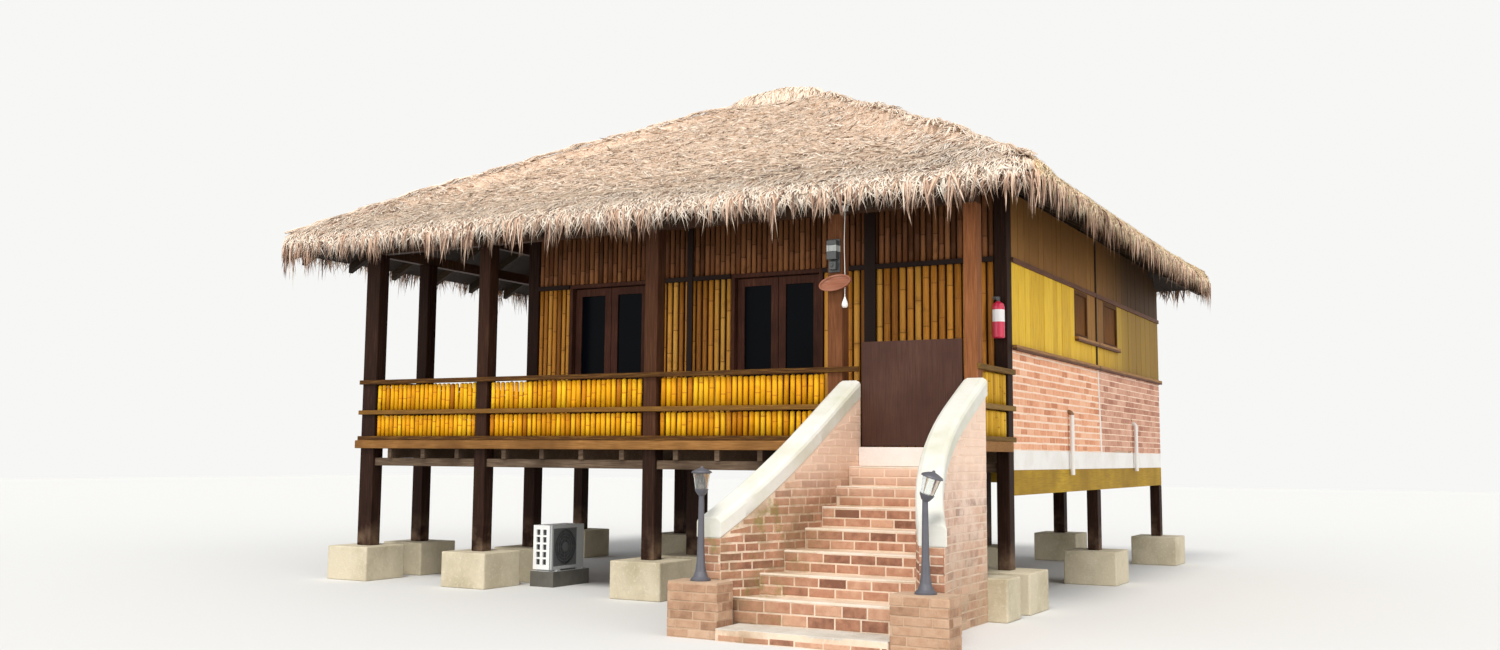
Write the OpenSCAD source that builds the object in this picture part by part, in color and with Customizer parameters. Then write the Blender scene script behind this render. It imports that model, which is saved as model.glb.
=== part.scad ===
// Stilt house with a thatched hip roof, a bamboo verandah and a brick stair.
// Millimetres, +Z up, +Y to the rear. Origin on the ground below the middle of the roof and stair.

/* [Roof] */
// Length of the eave rectangle along X
roof_l = 9660; // [9200:20:10000]
// Width of the eave rectangle along Y
roof_w = 8700; // [8400:20:9000]
// Y of the front eave
eave_front_y = -3400; // [-3500:10:-3300]
// Height of the thatch surface above the eave line
eave_z = 4020; // [3950:10:4100]
// Height of the ridge
ridge_z = 6300; // [5800:10:6600]
// Thickness of the thatch, measured upright
thatch_v = 170; // [120:5:200]
// Courses of thatch from eave to ridge
courses = 11; // [6:1:14]
// How far the butt of a course stands proud
course_step = 30; // [10:2:50]
// Height of the lower tips of the fringe
fringe_z = 3620; // [3550:10:3700]
// Height of the teeth that the fringe is cut into
fringe_tooth = 150; // [80:10:180]
// Upright depth of the rafters
rafter_v = 110; // [80:5:140]
// Width of a rafter
rafter_w = 70; // [50:5:90]
// Spacing of the rafters
rafter_gap = 780; // [600:20:900]

/* [Floor] */
// Top of the deck boards
deck_z = 1570; // [1450:10:1700]
// Thickness of the boards
deck_t = 40; // [25:1:50]
// Depth of the joists
joist_h = 110; // [90:5:120]
// Width of a joist
joist_w = 60; // [45:5:80]
// Depth of the bearers
bearer_h = 92; // [80:2:110]
// Width of a bearer
bearer_w = 100; // [80:5:120]
// Height of the footings
footing_h = 390; // [300:10:450]
// Side of a footing
footing_w = 620; // [500:10:680]

/* [Plan] */
// Left face of the left posts
left_x = -3630; // [-3700:10:-3500]
// Left face of the room
room_x = -1880; // [-2000:10:-1800]
// Right face of the room
right_x = 4070; // [4000:10:4100]
// Front face of the verandah posts
front_y = -2950; // [-3000:10:-2900]
// Front face of the room
room_y = -2050; // [-2100:10:-2000]
// Rear face of the house
rear_y = 4940; // [4850:10:5000]
// Side of a post
post = 160; // [140:5:180]
// Width of the front left corner post
corner_post = 210; // [180:5:230]
// Thickness of the room's walls
wall_t = 100; // [80:5:110]

/* [Heights] */
// Top of the verandah rail
rail_z = 2340; // [2250:10:2400]
// Top of the middle rail
mid_z = 1980; // [1900:10:2050]
// Top of the brick part of the walls
brick_top = 2590; // [2500:10:2650]
// Foot of the brick part of the walls
brick_foot = 1550; // [1540:5:1565]
// Foot of the plastered floor band
band_z = 1353; // [1300:5:1400]
// Foot of the timber fascia below the band
fascia_z = 1104; // [1050:5:1150]
// Top of the door heads
head_z = 3465; // [3400:5:3500]
// Foot of the upper batten of the side and rear walls
side_batten_z = 3420; // [3412:1:3450]

/* [Doors] */
// Middle of the left door
door_a_x = -700; // [-750:10:-650]
// Middle of the right door
door_b_x = 1495; // [1450:10:1550]
// Width over a door frame
door_w = 1120; // [1050:10:1150]
// Face width of a door frame
frame_w = 45; // [40:1:60]
// Thickness of a leaf
leaf_t = 40; // [35:1:45]
// Gap round each leaf
leaf_gap = 8; // [7:0.5:10]
// Width of the stiles and rails of a leaf
stile = 85; // [70:5:100]

/* [Stair] */
// Middle of the stair
stair_x = 3415; // [3400:5:3430]
// Clear half width at the top
stair_half = 515; // [500:5:520]
// Extra half width at the foot
stair_flare = 360; // [250:10:400]
// Rise of each step but the first
riser = 179; // [170:1:182]
// Depth of a tread
tread = 280; // [260:5:300]
// Front of the lowest step
step_front_y = -5300; // [-5350:10:-5250]
// Thickness of a parapet
parapet_t = 220; // [180:10:240]
// Upright height of the white coping
coping_h = 170; // [140:5:200]
// Side of a pier
pier_w = 480; // [440:10:520]
// Height of a pier
pier_h = 450; // [400:10:500]

/* [Hidden] */

// Roof planes
run = roof_w / 2;
slope = (ridge_z - eave_z) / run;
ridge_half = roof_l / 2 - run;
roof_y = eave_front_y + run;
eave_rear_y = eave_front_y + roof_w;
function roof_z(d) = eave_z + d * slope;
function under_z(d) = roof_z(d) - thatch_v;
function plate_z(d) = under_z(d) - rafter_v;
cap_d = run - 270;
beam_w = 100;
beam_h = 120;
beam_top = plate_z(front_y - eave_front_y);
beam_foot = beam_top - beam_h;

// Floor levels
joist_top = deck_z - deck_t;
joist_foot = joist_top - joist_h;
bearer_foot = joist_foot - bearer_h;
rim_t = 50;
rim_foot = joist_top;
rim_top = deck_z + 55;
rim_end = stair_x - stair_half - parapet_t - 30;

// Post columns, by their left faces, and rows, by their front faces
col_x = [left_x, room_x, 395, 2540, right_x - post + 30];
row_y = [front_y, room_y, 1320, rear_y - post];

// Door openings
head_foot = head_z - frame_w;
leaf_w = (door_w - 2 * frame_w - 3 * leaf_gap) / 2;
leaf_foot = deck_z + 10;
leaf_h = head_foot - leaf_gap - leaf_foot;

// Stair
steps = 8;
step_y = [for (k = [1 : steps + 1]) k == 1 ? step_front_y : front_y - (steps + 1 - k) * tread];
step_z = [for (k = [1 : steps]) k == 1 ? 100 : deck_z - 5 - (steps + 1 - k) * riser];
flare_y = front_y - 450;
parapet_end_y = -5000;
parapet_top_z = 2210;
parapet_end_z = 960;
coping_bow = 70;
pier_off = 985;
gate_gap = 8;

// Inner face of the parapets and top of the copings, worked out at stations half a tread apart
station = tread / 2;
function station_y(k) = front_y - k * station;
function flare(y) = y > flare_y ? 0
    : stair_flare * pow((flare_y - y) / (flare_y - parapet_end_y), 2.4);
function coping_curve(y) = let (t = (front_y - y) / (front_y - parapet_end_y))
    parapet_top_z + (parapet_end_z - parapet_top_z) * t + coping_bow * sin(180 * t);
function between(k, a, b) = a + (b - a) * (k - floor(k));
function inner_x(y) = let (k = (front_y - y) / station, n = floor(k))
    stair_half + between(k, flare(station_y(n)), flare(station_y(n + 1)));
function coping_z(y) = let (k = (front_y - y) / station, n = floor(k))
    between(k, coping_curve(station_y(n)), coping_curve(station_y(n + 1)));

// A box given by its lowest and highest corners
module span(a, b) translate(a) cube(b - a);

// Moves from a slope's own axes, u along its eave and d inwards, to the house
module on_slope(side) {
    if (side == "front") translate([0, eave_front_y, 0]) children();
    if (side == "rear") translate([0, eave_rear_y, 0]) rotate([0, 0, 180]) children();
    if (side == "right") translate([roof_l / 2, roof_y, 0]) rotate([0, 0, 90]) children();
    if (side == "left") translate([-roof_l / 2, roof_y, 0]) rotate([0, 0, -90]) children();
}
function half_of(side) = side == "front" || side == "rear" ? roof_l / 2 : run;

// Plan of a slope, mitred along its hips and held back from them by an inset
module slope_plan(side, inset = 0) {
    h = half_of(side) - inset * sqrt(2);
    polygon(h > run ? [[-h, 0], [h, 0], [h - run, run], [run - h, run]] : [[-h, 0], [h, 0], [0, h]]);
}

// A profile in d and z, drawn out along the eave
module along_eave(side, profile) {
    h = half_of(side);
    translate([-h, 0, 0]) rotate([90, 0, 90]) linear_extrude(2 * h) polygon(profile);
}

module footings() color("tan") difference() {
    for (x = col_x, y = row_y)
        translate([x + post / 2 - footing_w / 2, y + post / 2 - footing_w / 2, 0])
            cube([footing_w, footing_w, footing_h]);
    span([stair_x - 1200, step_front_y, -1], [stair_x + 1300, front_y, footing_h + 1]);
}

// Head of the post in column i and row j
function post_head(i, j) =
    j == 0 || i == 0 ? beam_foot
    : i == 1 && j == 1 ? plate_z(room_y - eave_front_y)
    : i == 4 && j == 1 ? plate_z(roof_l / 2 - right_x)
    : i == 1 && j == 3 ? plate_z(eave_rear_y - rear_y)
    : i == 4 ? fascia_z
    : joist_foot;
function post_right(i, j) = i == 4 ? right_x : col_x[i] + (i == 0 && j == 0 ? corner_post : post);

module posts() color("saddlebrown") difference() {
    for (i = [0 : 4], j = [0 : 3])
        span([col_x[i], row_y[j], footing_h], [post_right(i, j), row_y[j] + post, post_head(i, j)]);
    span([wall_l, rear_y - wall_t, fascia_z], [right_x - wall_t, rear_y + 1, joist_foot + 1]);
}

// Bearers run from post to post under the joists
module bearers() color("peru") difference() {
    for (y = [front_y + 30, room_y + 30, row_y[2] + 30, rear_y - wall_t - bearer_w])
        span([left_x, y, bearer_foot], [right_x - wall_t, y + bearer_w, joist_foot]);
    for (i = [0 : 4], j = [0 : 3])
        if (i < 4 || j < 2)
            span([col_x[i], row_y[j] - 100, 0], [post_right(i, j), row_y[j] + post + 1, joist_foot + 1]);
}

// Joists, evenly spaced between the columns of posts
module joists() color("peru")
    for (i = [0 : 3]) {
        a = post_right(i, 0);
        n = round((col_x[i + 1] - a) / 500);
        for (k = [0 : n - 1])
            let (x = a + (col_x[i + 1] - a) * (k + 0.5) / n)
                span([x - joist_w / 2, front_y, joist_foot], [x + joist_w / 2, rear_y - wall_t, joist_top]);
    }

// Room that the posts that pass the floor take
module post_holes()
    for (i = [0 : 4], j = [0 : 3])
        if (post_head(i, j) > deck_z)
            span([col_x[i], row_y[j], 0], [post_right(i, j), row_y[j] + post, 9000]);

module verandah_deck() color("sienna") difference() {
    union() {
        span([left_x, front_y, joist_top], [right_x, room_y, deck_z]);
        span([left_x, room_y - 1, joist_top], [room_x, rear_y, deck_z]);
    }
    post_holes();
}

module room_floor() color("sienna") difference() {
    span([room_x, room_y, joist_top], [right_x - wall_t, rear_y - wall_t, deck_z]);
    post_holes();
}

module floor_rim() color("peru") {
    span([left_x - rim_t, front_y - rim_t, rim_foot], [rim_end, front_y, rim_top]);
    span([left_x - rim_t, front_y, rim_foot], [left_x, rear_y + rim_t, rim_top]);
    span([left_x, rear_y, rim_foot], [room_x, rear_y + rim_t, rim_top]);
    span([right_x, front_y, rim_foot], [right_x + rim_t, room_y, rim_top]);
}

// Balustrades: rails that pass in front of the posts, outer face towards -Y, and two rows of split bamboo
rail_h = 50;
rail_out = 30;
rail_in = 40;
rail_feet = [rim_top, mid_z - rail_h, rail_z - rail_h];
module rail(k, u0, u1) translate([u0, -rail_out, rail_feet[k]]) cube([u1 - u0, rail_out, rail_h]);
module rails(u0, u1) for (k = [0 : 2]) rail(k, u0, u1);

// A row of half-round slats with rounded heads, flat sides to the rear
slat_w = 58;
slat_pitch = 66;
slat_head = 16;
slat_play = 10;
module slats(n, h) intersection() {
    linear_extrude(h) for (k = [0 : n - 1]) translate([(k + 0.5) * slat_pitch, 0]) intersection() {
        circle(d = slat_w, $fn = 8);
        translate([-slat_w / 2, -slat_w]) square([slat_w, slat_w]);
    }
    rotate([90, 0, 0]) linear_extrude(slat_w) for (k = [0 : n - 1]) translate([(k + 0.5) * slat_pitch, 0])
        polygon([[-slat_w / 2, 0], [slat_w / 2, 0], [slat_w / 2, h - slat_head], [slat_w / 4, h],
                 [-slat_w / 4, h], [-slat_w / 2, h - slat_head]]);
}

// What stands between two posts: the inner half of each rail and the slats on the lower two
module panel(l) {
    n = floor((l - 10) / slat_pitch);
    pad = (l - n * slat_pitch) / 2;
    for (k = [0 : 2]) translate([0, -1, rail_feet[k]]) cube([l, rail_in + 1, rail_h]);
    for (k = [0, 1]) {
        foot = rail_feet[k] + rail_h - 1;
        translate([pad, rail_in, foot]) slats(n, rail_feet[k + 1] - slat_play - foot);
    }
}

// The top rail at the front runs on past the post beside the gate
top_rail_end = stair_x - stair_half - 20;
module front_balustrade() color("goldenrod") translate([0, front_y, 0]) {
    rail(0, left_x - rail_out, rim_end);
    rail(1, left_x - rail_out, rim_end);
    rail(2, left_x - rail_out, top_rail_end);
    for (i = [0 : 2]) translate([post_right(i, 0), 0, 0]) panel(col_x[i + 1] - post_right(i, 0));
    translate([post_right(3, 0), -1, rail_feet[2]])
        cube([top_rail_end - post_right(3, 0), rail_in + 1, rail_h]);
}

module left_balustrade() color("goldenrod") {
    translate([left_x, rear_y, 0]) rotate([0, 0, -90]) rails(0, rear_y - front_y);
    for (j = [0 : 2])
        translate([left_x, row_y[j + 1], 0]) rotate([0, 0, -90]) panel(row_y[j + 1] - row_y[j] - post);
}

module rear_balustrade() color("goldenrod") translate([room_x, rear_y, 0]) rotate([0, 0, 180]) {
    rails(0, room_x - left_x + rail_out);
    panel(room_x - left_x - post);
}

module right_balustrade() color("goldenrod") translate([right_x, front_y + post, 0]) rotate([0, 0, 90]) {
    rails(-post, room_y - front_y);
    panel(room_y - front_y - post);
}

// Room walls
wall_l = room_x + post;
wall_r = col_x[4];
door_a = [door_a_x - door_w / 2, door_a_x + door_w / 2];
door_b = [door_b_x - door_w / 2, door_b_x + door_w / 2];

module front_wall_piece(a, b) color("goldenrod")
    span([a, room_y, deck_z], [b, room_y + wall_t, head_z]);
module front_wall_left() front_wall_piece(wall_l, door_a[0]);
module front_wall_middle() front_wall_piece(door_a[1], door_b[0]);
module front_wall_right() front_wall_piece(door_b[1], wall_r);

// Profile of a wall's head, cut to the slope of the roof, between distances a and b from the eave
module front_wall_top() color("goldenrod") intersection() {
    a = room_y - eave_front_y;
    b = a + wall_t;
    translate([wall_l, eave_front_y, 0]) rotate([90, 0, 90]) linear_extrude(wall_r - wall_l)
        polygon([[a, head_z], [b, head_z], [b, plate_z(b)], [a, plate_z(a)]]);
    translate([0, room_y + wall_t + 1, 0]) rotate([90, 0, 0]) linear_extrude(wall_t + 2)
        polygon([[wall_l, head_z], [wall_r, head_z], [wall_r, plate_z(roof_l / 2 - wall_r)],
                 [roof_l / 2 - b, plate_z(b)], [wall_l, plate_z(b)]]);
}

// The left wall rises to the slopes at both its ends
module left_wall() color("goldenrod") {
    a = room_y + post;
    b = rear_y - post;
    d = room_x + roof_l / 2;
    difference() {
        translate([room_x, 0, 0]) rotate([90, 0, 90]) linear_extrude(wall_t)
            polygon([[a, deck_z], [b, deck_z], [b, plate_z(eave_rear_y - b)],
                     [eave_rear_y - d, plate_z(d)], [eave_front_y + d, plate_z(d)],
                     [a, plate_z(a - eave_front_y)]]);
        for (w = window_y)
            span([room_x - 1, w[0], window_z[0]], [room_x + wall_t + 1, w[1], window_z[1]]);
    }
}

// Windows of the side walls, by their spans in Y and Z, and of the rear wall in X
window_y = [[440, 1020], [1780, 2480]];
window_x = [[-400, 100], [1800, 2470]];
window_z = [2870, 3410];

// Upright joint in the middle of the right wall
wall_joint_y = 1400;

module rear_brick_wall() color("firebrick")
    span([room_x + post, rear_y - wall_t, brick_foot], [right_x - wall_t, rear_y, brick_top]);

module rear_board_wall() color("goldenrod") difference() {
    d = eave_rear_y - rear_y;
    translate([wall_l, eave_rear_y, 0]) mirror([0, 1, 0]) rotate([90, 0, 90])
        linear_extrude(right_x - wall_t - wall_l)
            polygon([[d, brick_top], [d + wall_t, brick_top],
                     [d + wall_t, plate_z(d + wall_t)], [d, plate_z(d)]]);
    for (w = window_x)
        span([w[0], rear_y - wall_t - 1, window_z[0]], [w[1], rear_y + 1, window_z[1]]);
}

// The right wall has lost its lowest joint beside the rear drain, and a piece of a brick above it
lost_depth = 40;
module right_brick_wall() color("firebrick") difference() {
    span([right_x - wall_t, room_y + post, brick_foot], [right_x, rear_y, brick_top]);
    span([right_x - lost_depth, 2160, brick_foot - 1], [right_x + 1, 3110, brick_foot + 22]);
    span([right_x - lost_depth, 3140, 1966], [right_x + 1, 3200, 2000]);
}

module right_board_wall() color("goldenrod") difference() {
    d = roof_l / 2 - right_x;
    e = eave_rear_y - rear_y;
    intersection() {
        translate([0, rear_y, 0]) rotate([90, 0, 0]) linear_extrude(rear_y - room_y - post)
            polygon([[right_x - wall_t, brick_top], [right_x, brick_top], [right_x, plate_z(d)],
                     [right_x - wall_t, plate_z(d + wall_t)]]);
        translate([right_x - wall_t - 1, 0, 0]) rotate([90, 0, 90]) linear_extrude(wall_t + 2)
            polygon([[room_y, brick_top - 1], [rear_y, brick_top - 1], [rear_y, plate_z(e)],
                     [eave_rear_y - d - wall_t, plate_z(d + wall_t)], [room_y, plate_z(d + wall_t)]]);
    }
    for (w = window_y)
        span([right_x - wall_t - 1, w[0], window_z[0]], [right_x + 1, w[1], window_z[1]]);
}

// A course under the right and the rear wall, in two lengths that stay a hair apart
module wall_course(z0, z1) {
    span([right_x - wall_t, room_y + post, z0], [right_x, rear_y, z1]);
    span([wall_l, rear_y - wall_t, z0], [right_x - wall_t - 1, rear_y, z1]);
}
module floor_band() color("white") wall_course(band_z, brick_foot);
module side_fascia() color("peru") wall_course(fascia_z, band_z);

// Dark battens that cover the joints of the wall boards
batten_t = 18;
batten_w = 50;
ledge_t = 45;
module wall_battens() color("saddlebrown") {
    for (s = [[wall_l, door_a[0]], [door_a[1], 380], [450, door_b[0]], [door_b[1], 2545], [2670, wall_r]])
        span([s[0], room_y - batten_t, head_z - batten_w], [s[1], room_y, head_z]);
    for (s = [[380, 450], [2545, 2670]])
        span([s[0], room_y - batten_t - 6, deck_z], [s[1], room_y, plate_z(room_y - eave_front_y) - 20]);
    for (s = [[brick_top - batten_w, ledge_t], [side_batten_z, batten_t]]) {
        span([right_x, room_y + post, s[0]], [right_x + s[1], rear_y, s[0] + batten_w]);
        span([room_x + post, rear_y, s[0]], [right_x, rear_y + s[1], s[0] + batten_w]);
    }
    span([room_x - batten_t, room_y + post, side_batten_z],
         [room_x, rear_y - post, side_batten_z + batten_w]);
    sill_foot = window_z[0] - batten_w;
    for (x = [room_x - ledge_t, right_x])
        span([x, window_y[0][0], sill_foot], [x + ledge_t, window_y[1][1], window_z[0]]);
    joint_top = plate_z(roof_l / 2 - right_x) - 20;
    span([right_x, wall_joint_y - 20, brick_top], [right_x + batten_t - 4, wall_joint_y + 20, joint_top]);
    for (w = window_x) span([w[0], rear_y, sill_foot], [w[1], rear_y + ledge_t, window_z[0]]);
}

// Frames, those of the side walls with a boarded shutter set a little back from the outer face
window_face = 40;
shutter_t = 20;
shutter_set = 25;
module window_frames() color("saddlebrown") {
    for (w = window_y, right = [false, true]) {
        x = right ? right_x - wall_t : room_x;
        out = right ? right_x - shutter_set - shutter_t : room_x + shutter_set;
        lap = window_face - 1;
        window_frame([x, w[0], window_z[0]], [x + wall_t, w[1], window_z[1]], [1, 0]);
        span([out, w[0] + lap, window_z[0] + lap], [out + shutter_t, w[1] - lap, window_z[1] - lap]);
    }
    for (w = window_x)
        window_frame([w[0], rear_y - wall_t, window_z[0]], [w[1], rear_y, window_z[1]], [0, 1]);
}

// A frame that lines an opening from corner a to corner b, open along X or along Y
module window_frame(a, b, open) difference() {
    span(a, b);
    span(
        [a.x + (open.x ? -1 : window_face), a.y + (open.y ? -1 : window_face), a.z + window_face],
        [b.x + (open.x ? 1 : -window_face), b.y + (open.y ? 1 : -window_face), b.z - window_face]);
}

module window_glass() color("lightblue") for (w = window_x)
    span([w[0] + window_face, rear_y - 55, window_z[0] + window_face],
         [w[1] - window_face, rear_y - 49, window_z[1] - window_face]);

module door_frames() color("saddlebrown")
    for (d = [door_a, door_b]) difference() {
        span([d[0], room_y, deck_z], [d[1], room_y + wall_t, head_z]);
        span([d[0] + frame_w, room_y - 1, deck_z - 1], [d[1] - frame_w, room_y + wall_t + 1, head_foot]);
    }

// A leaf drawn from its hinge edge towards +X, its inner face at the wall's inner face
kick_h = 320;
module leaf() {
    difference() {
        cube([leaf_w, leaf_t, leaf_h]);
        translate([stile, -1, kick_h]) cube([leaf_w - 2 * stile, leaf_t + 2, leaf_h - kick_h - stile]);
    }
    on_pin() leaf_knuckles(hinge_feet);
}

// Butt hinges, drawn about their pin: the turning plate towards +X, on a face at -hinge_off
hinge_h = 90;
hinge_r = 6.5;
hinge_off = 8;
hinge_pin = 3;
hinge_play = 0.3;
hinge_leaf = 32;
hinge_t = 2.5;
hinge_feet = [220, leaf_h - 220 - hinge_h];
knuckle_gap = 1;
knuckle_h = hinge_h / 3 - knuckle_gap;
module on_pin() translate([-leaf_gap / 2, leaf_t + hinge_off, 0]) children();
module at_knuckle(z, k) translate([0, 0, z + k * hinge_h / 3 + knuckle_gap / 2]) children();
module knuckle() cylinder(r = hinge_r, h = knuckle_h, $fn = 32);
module pin(z, play = 0) translate([0, 0, z + 1]) cylinder(r = hinge_pin + play, h = hinge_h - 2, $fn = 32);
module leaf_knuckles(feet) for (z = feet) difference() {
    at_knuckle(z, 1) {
        knuckle();
        translate([0, -hinge_off - 0.5, 0]) cube([hinge_leaf, hinge_t + 0.5, knuckle_h]);
    }
    pin(z, hinge_play);
}
module fixed_knuckles(feet) for (z = feet) {
    for (k = [0, 2]) at_knuckle(z, k) {
        knuckle();
        translate([-hinge_leaf, -hinge_off, 0]) cube([hinge_leaf, hinge_t, knuckle_h]);
    }
    pin(z);
}
module leaf_glass() translate([stile, leaf_t / 2 - 3, kick_h])
    cube([leaf_w - 2 * stile, 6, leaf_h - kick_h - stile]);

// Places a leaf in the opening d, at its left or, mirrored, at its right
module hang(d, right) {
    y = room_y + wall_t - leaf_t;
    if (right) translate([d[1] - frame_w - leaf_gap, y, leaf_foot]) mirror([1, 0, 0]) children();
    else translate([d[0] + frame_w + leaf_gap, y, leaf_foot]) children();
}
module door_a_left() color("saddlebrown") hang(door_a, false) leaf();
module door_a_right() color("saddlebrown") hang(door_a, true) leaf();
module door_b_left() color("saddlebrown") hang(door_b, false) leaf();
module door_b_right() color("saddlebrown") hang(door_b, true) leaf();
module glass_a_left() color("dimgray") hang(door_a, false) leaf_glass();
module glass_a_right() color("dimgray") hang(door_a, true) leaf_glass();
module glass_b_left() color("dimgray") hang(door_b, false) leaf_glass();
module glass_b_right() color("dimgray") hang(door_b, true) leaf_glass();

// The gate hangs on the inner face of the right parapet
gate_l = stair_x - stair_half + gate_gap;
gate_r = stair_x + stair_half - gate_gap;
gate_top = 2575;
gate_t = 40;
gate_pin = [gate_r - 6, front_y - hinge_off];
gate_hinge_feet = [1700, 2030];
gate_flange = 50;
module gate_panel() color("maroon") {
    span([gate_l, front_y, deck_z + 8], [gate_r, front_y + gate_t, gate_top]);
    translate(gate_pin) rotate([0, 0, 180]) leaf_knuckles(gate_hinge_feet);
}
module gate_fixings() translate(gate_pin) for (z = gate_hinge_feet) {
    reach = gate_gap + 6;
    for (k = [0, 2]) at_knuckle(z, k) {
        knuckle();
        translate([0, -hinge_t / 2, 0]) cube([reach, hinge_t, knuckle_h]);
        translate([reach - hinge_t, -gate_flange, 0]) cube([hinge_t, gate_flange, knuckle_h]);
    }
    pin(z);
}
module hinges() color("dimgray") {
    for (d = [door_a, door_b], right = [false, true]) hang(d, right) on_pin() fixed_knuckles(hinge_feet);
    gate_fixings();
}

// Beams over the posts
module beam_along(side, u0, u1, d, foot) on_slope(side)
    translate([u0, 0, 0]) rotate([90, 0, 90]) linear_extrude(u1 - u0)
        polygon([[d, foot], [d + beam_w, foot], [d + beam_w, plate_z(d + beam_w)], [d, plate_z(d)]]);

module eave_beams() color("saddlebrown") {
    d = left_x + roof_l / 2;
    purlin_foot = plate_z(d) - beam_w;
    y0 = eave_front_y + d + beam_w;
    y1 = eave_rear_y - d - beam_w;
    beam_along("front", left_x, right_x, front_y - eave_front_y, beam_foot);
    beam_along("rear", -room_x, -left_x, eave_rear_y - rear_y, beam_foot);
    span([left_x, front_y + beam_w, beam_foot], [left_x + beam_w, rear_y - beam_w, beam_top]);
    beam_along("left", roof_y - y1, roof_y - y0, d, purlin_foot);
    for (y = [y0, row_y[2], y1 - beam_w])
        span([left_x, y, beam_top], [left_x + beam_w, y + beam_w, purlin_foot]);
}

// Rafters of one slope, from behind the fringe to the ridge, cut back from the hips
hip_w = 90;
fringe_d = 60;
fringe_t = 60;
tail_d = fringe_d + fringe_t;
// Play that keeps the rafters from biting into the thatch
fit = 0.1;
module slope_rafters(side) on_slope(side) intersection() {
    b = run - 25;
    along_eave(side, [[tail_d, plate_z(tail_d)], [b, plate_z(b)],
                      [b, under_z(b) - fit], [tail_d, under_z(tail_d) - fit]]);
    linear_extrude(9000) intersection() {
        slope_plan(side, hip_w / 2 + 5);
        n = floor(half_of(side) / rafter_gap);
        for (k = [-n : n]) translate([k * rafter_gap - rafter_w / 2, 0]) square([rafter_w, run]);
    }
}
module rafters() color("burlywood") for (s = ["front", "rear", "left", "right"]) slope_rafters(s);

// Hip rafters, their upper edges against both slopes
module hip_rafters() color("burlywood")
    for (m = [0, 1], n = [0, 1]) {
        a = tail_d + 60;
        b = run - 110;
        drop = hip_w / 2 * slope / sqrt(2);
        translate([0, roof_y, 0]) mirror([m, 0, 0]) mirror([0, n, 0]) translate([-roof_l / 2, -run, 0])
            rotate([0, 0, 45]) translate([0, hip_w / 2, 0]) rotate([90, 0, 0]) linear_extrude(hip_w)
                polygon([[a * sqrt(2), plate_z(a)], [b * sqrt(2), plate_z(b)],
                         [b * sqrt(2), under_z(b) - drop], [a * sqrt(2), under_z(a) - drop]]);
    }

ridge_beam_w = 50;
module ridge_beam() color("burlywood") {
    e = ridge_beam_w / 2;
    span([-ridge_half - e, roof_y - e, plate_z(run - e) - ridge_beam_w],
         [ridge_half + e, roof_y + e, under_z(run - e)]);
}

// Upper line of the thatch: courses that lap like a saw, then a plain strip under the cap
function course_line() = concat(
    [for (k = [0 : courses - 1]) let (a = k * cap_d / courses, b = (k + 1) * cap_d / courses)
        each [[max(a, 60), roof_z(max(a, 60)) + course_step * (k == 0 ? 0.4 : 1)], [b, roof_z(b)]]],
    [[run, roof_z(run)]]);

module thatch(side) color("rosybrown") on_slope(side) intersection() {
    along_eave(side, concat(course_line(), [[run, under_z(run)], [40, under_z(40)], [0, under_z(0) + 50],
                                            [0, roof_z(0) - 50], [20, roof_z(20) - 10]]));
    linear_extrude(9000) slope_plan(side);
}

// Patches beside the front right hip where the outer layers have gone, in the slope's own axes
worn_patches = [
    [[2290, 2300], [2360, 2350], [2530, 2120], [2610, 1890], [2500, 1940], [2390, 2090]],
    [[3150, 1570], [3230, 1540], [3400, 1330], [3430, 1180], [3320, 1220], [3220, 1370]],
    [[3590, 1110], [3670, 1090], [3770, 900], [3790, 780], [3690, 900]]
];
worn_depth = 80;
module worn() on_slope("front") intersection() {
    over = 2 * course_step;
    along_eave("front", [[0, roof_z(0) - worn_depth], [run, roof_z(run) - worn_depth],
                         [run, roof_z(run) + over], [0, roof_z(0) + over]]);
    linear_extrude(9000) for (p = worn_patches) polygon(p);
}
module thatch_front() color("rosybrown") difference() {
    thatch("front");
    worn();
}
module thatch_rear() thatch("rear");
module thatch_left() thatch("left");
module thatch_right() thatch("right");

// Fringe under the eave, cut into teeth along its foot
tooth_pitch = 145;
function tooth(k) = [[k * tooth_pitch, fringe_z], [(k + 0.5) * tooth_pitch, fringe_z + fringe_tooth]];
module eave_fringe() color("rosybrown")
    for (s = ["front", "rear", "left", "right"]) on_slope(s) intersection() {
        h = half_of(s);
        n = floor(2 * h / tooth_pitch);
        top = under_z(fringe_d) + 1;
        along_eave(s, [[fringe_d, fringe_z], [tail_d - 30, fringe_z], [tail_d, under_z(tail_d) - 100],
                       [tail_d, under_z(tail_d)], [fringe_d, under_z(fringe_d)]]);
        linear_extrude(9000) slope_plan(s, 2);
        translate([-n * tooth_pitch / 2, tail_d + 1, 0]) rotate([90, 0, 0]) linear_extrude(tail_d + 2)
            polygon(concat([for (k = [0 : n]) each tooth(k)], [[h + n * tooth_pitch, top], [-h, top]]));
    }

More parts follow.
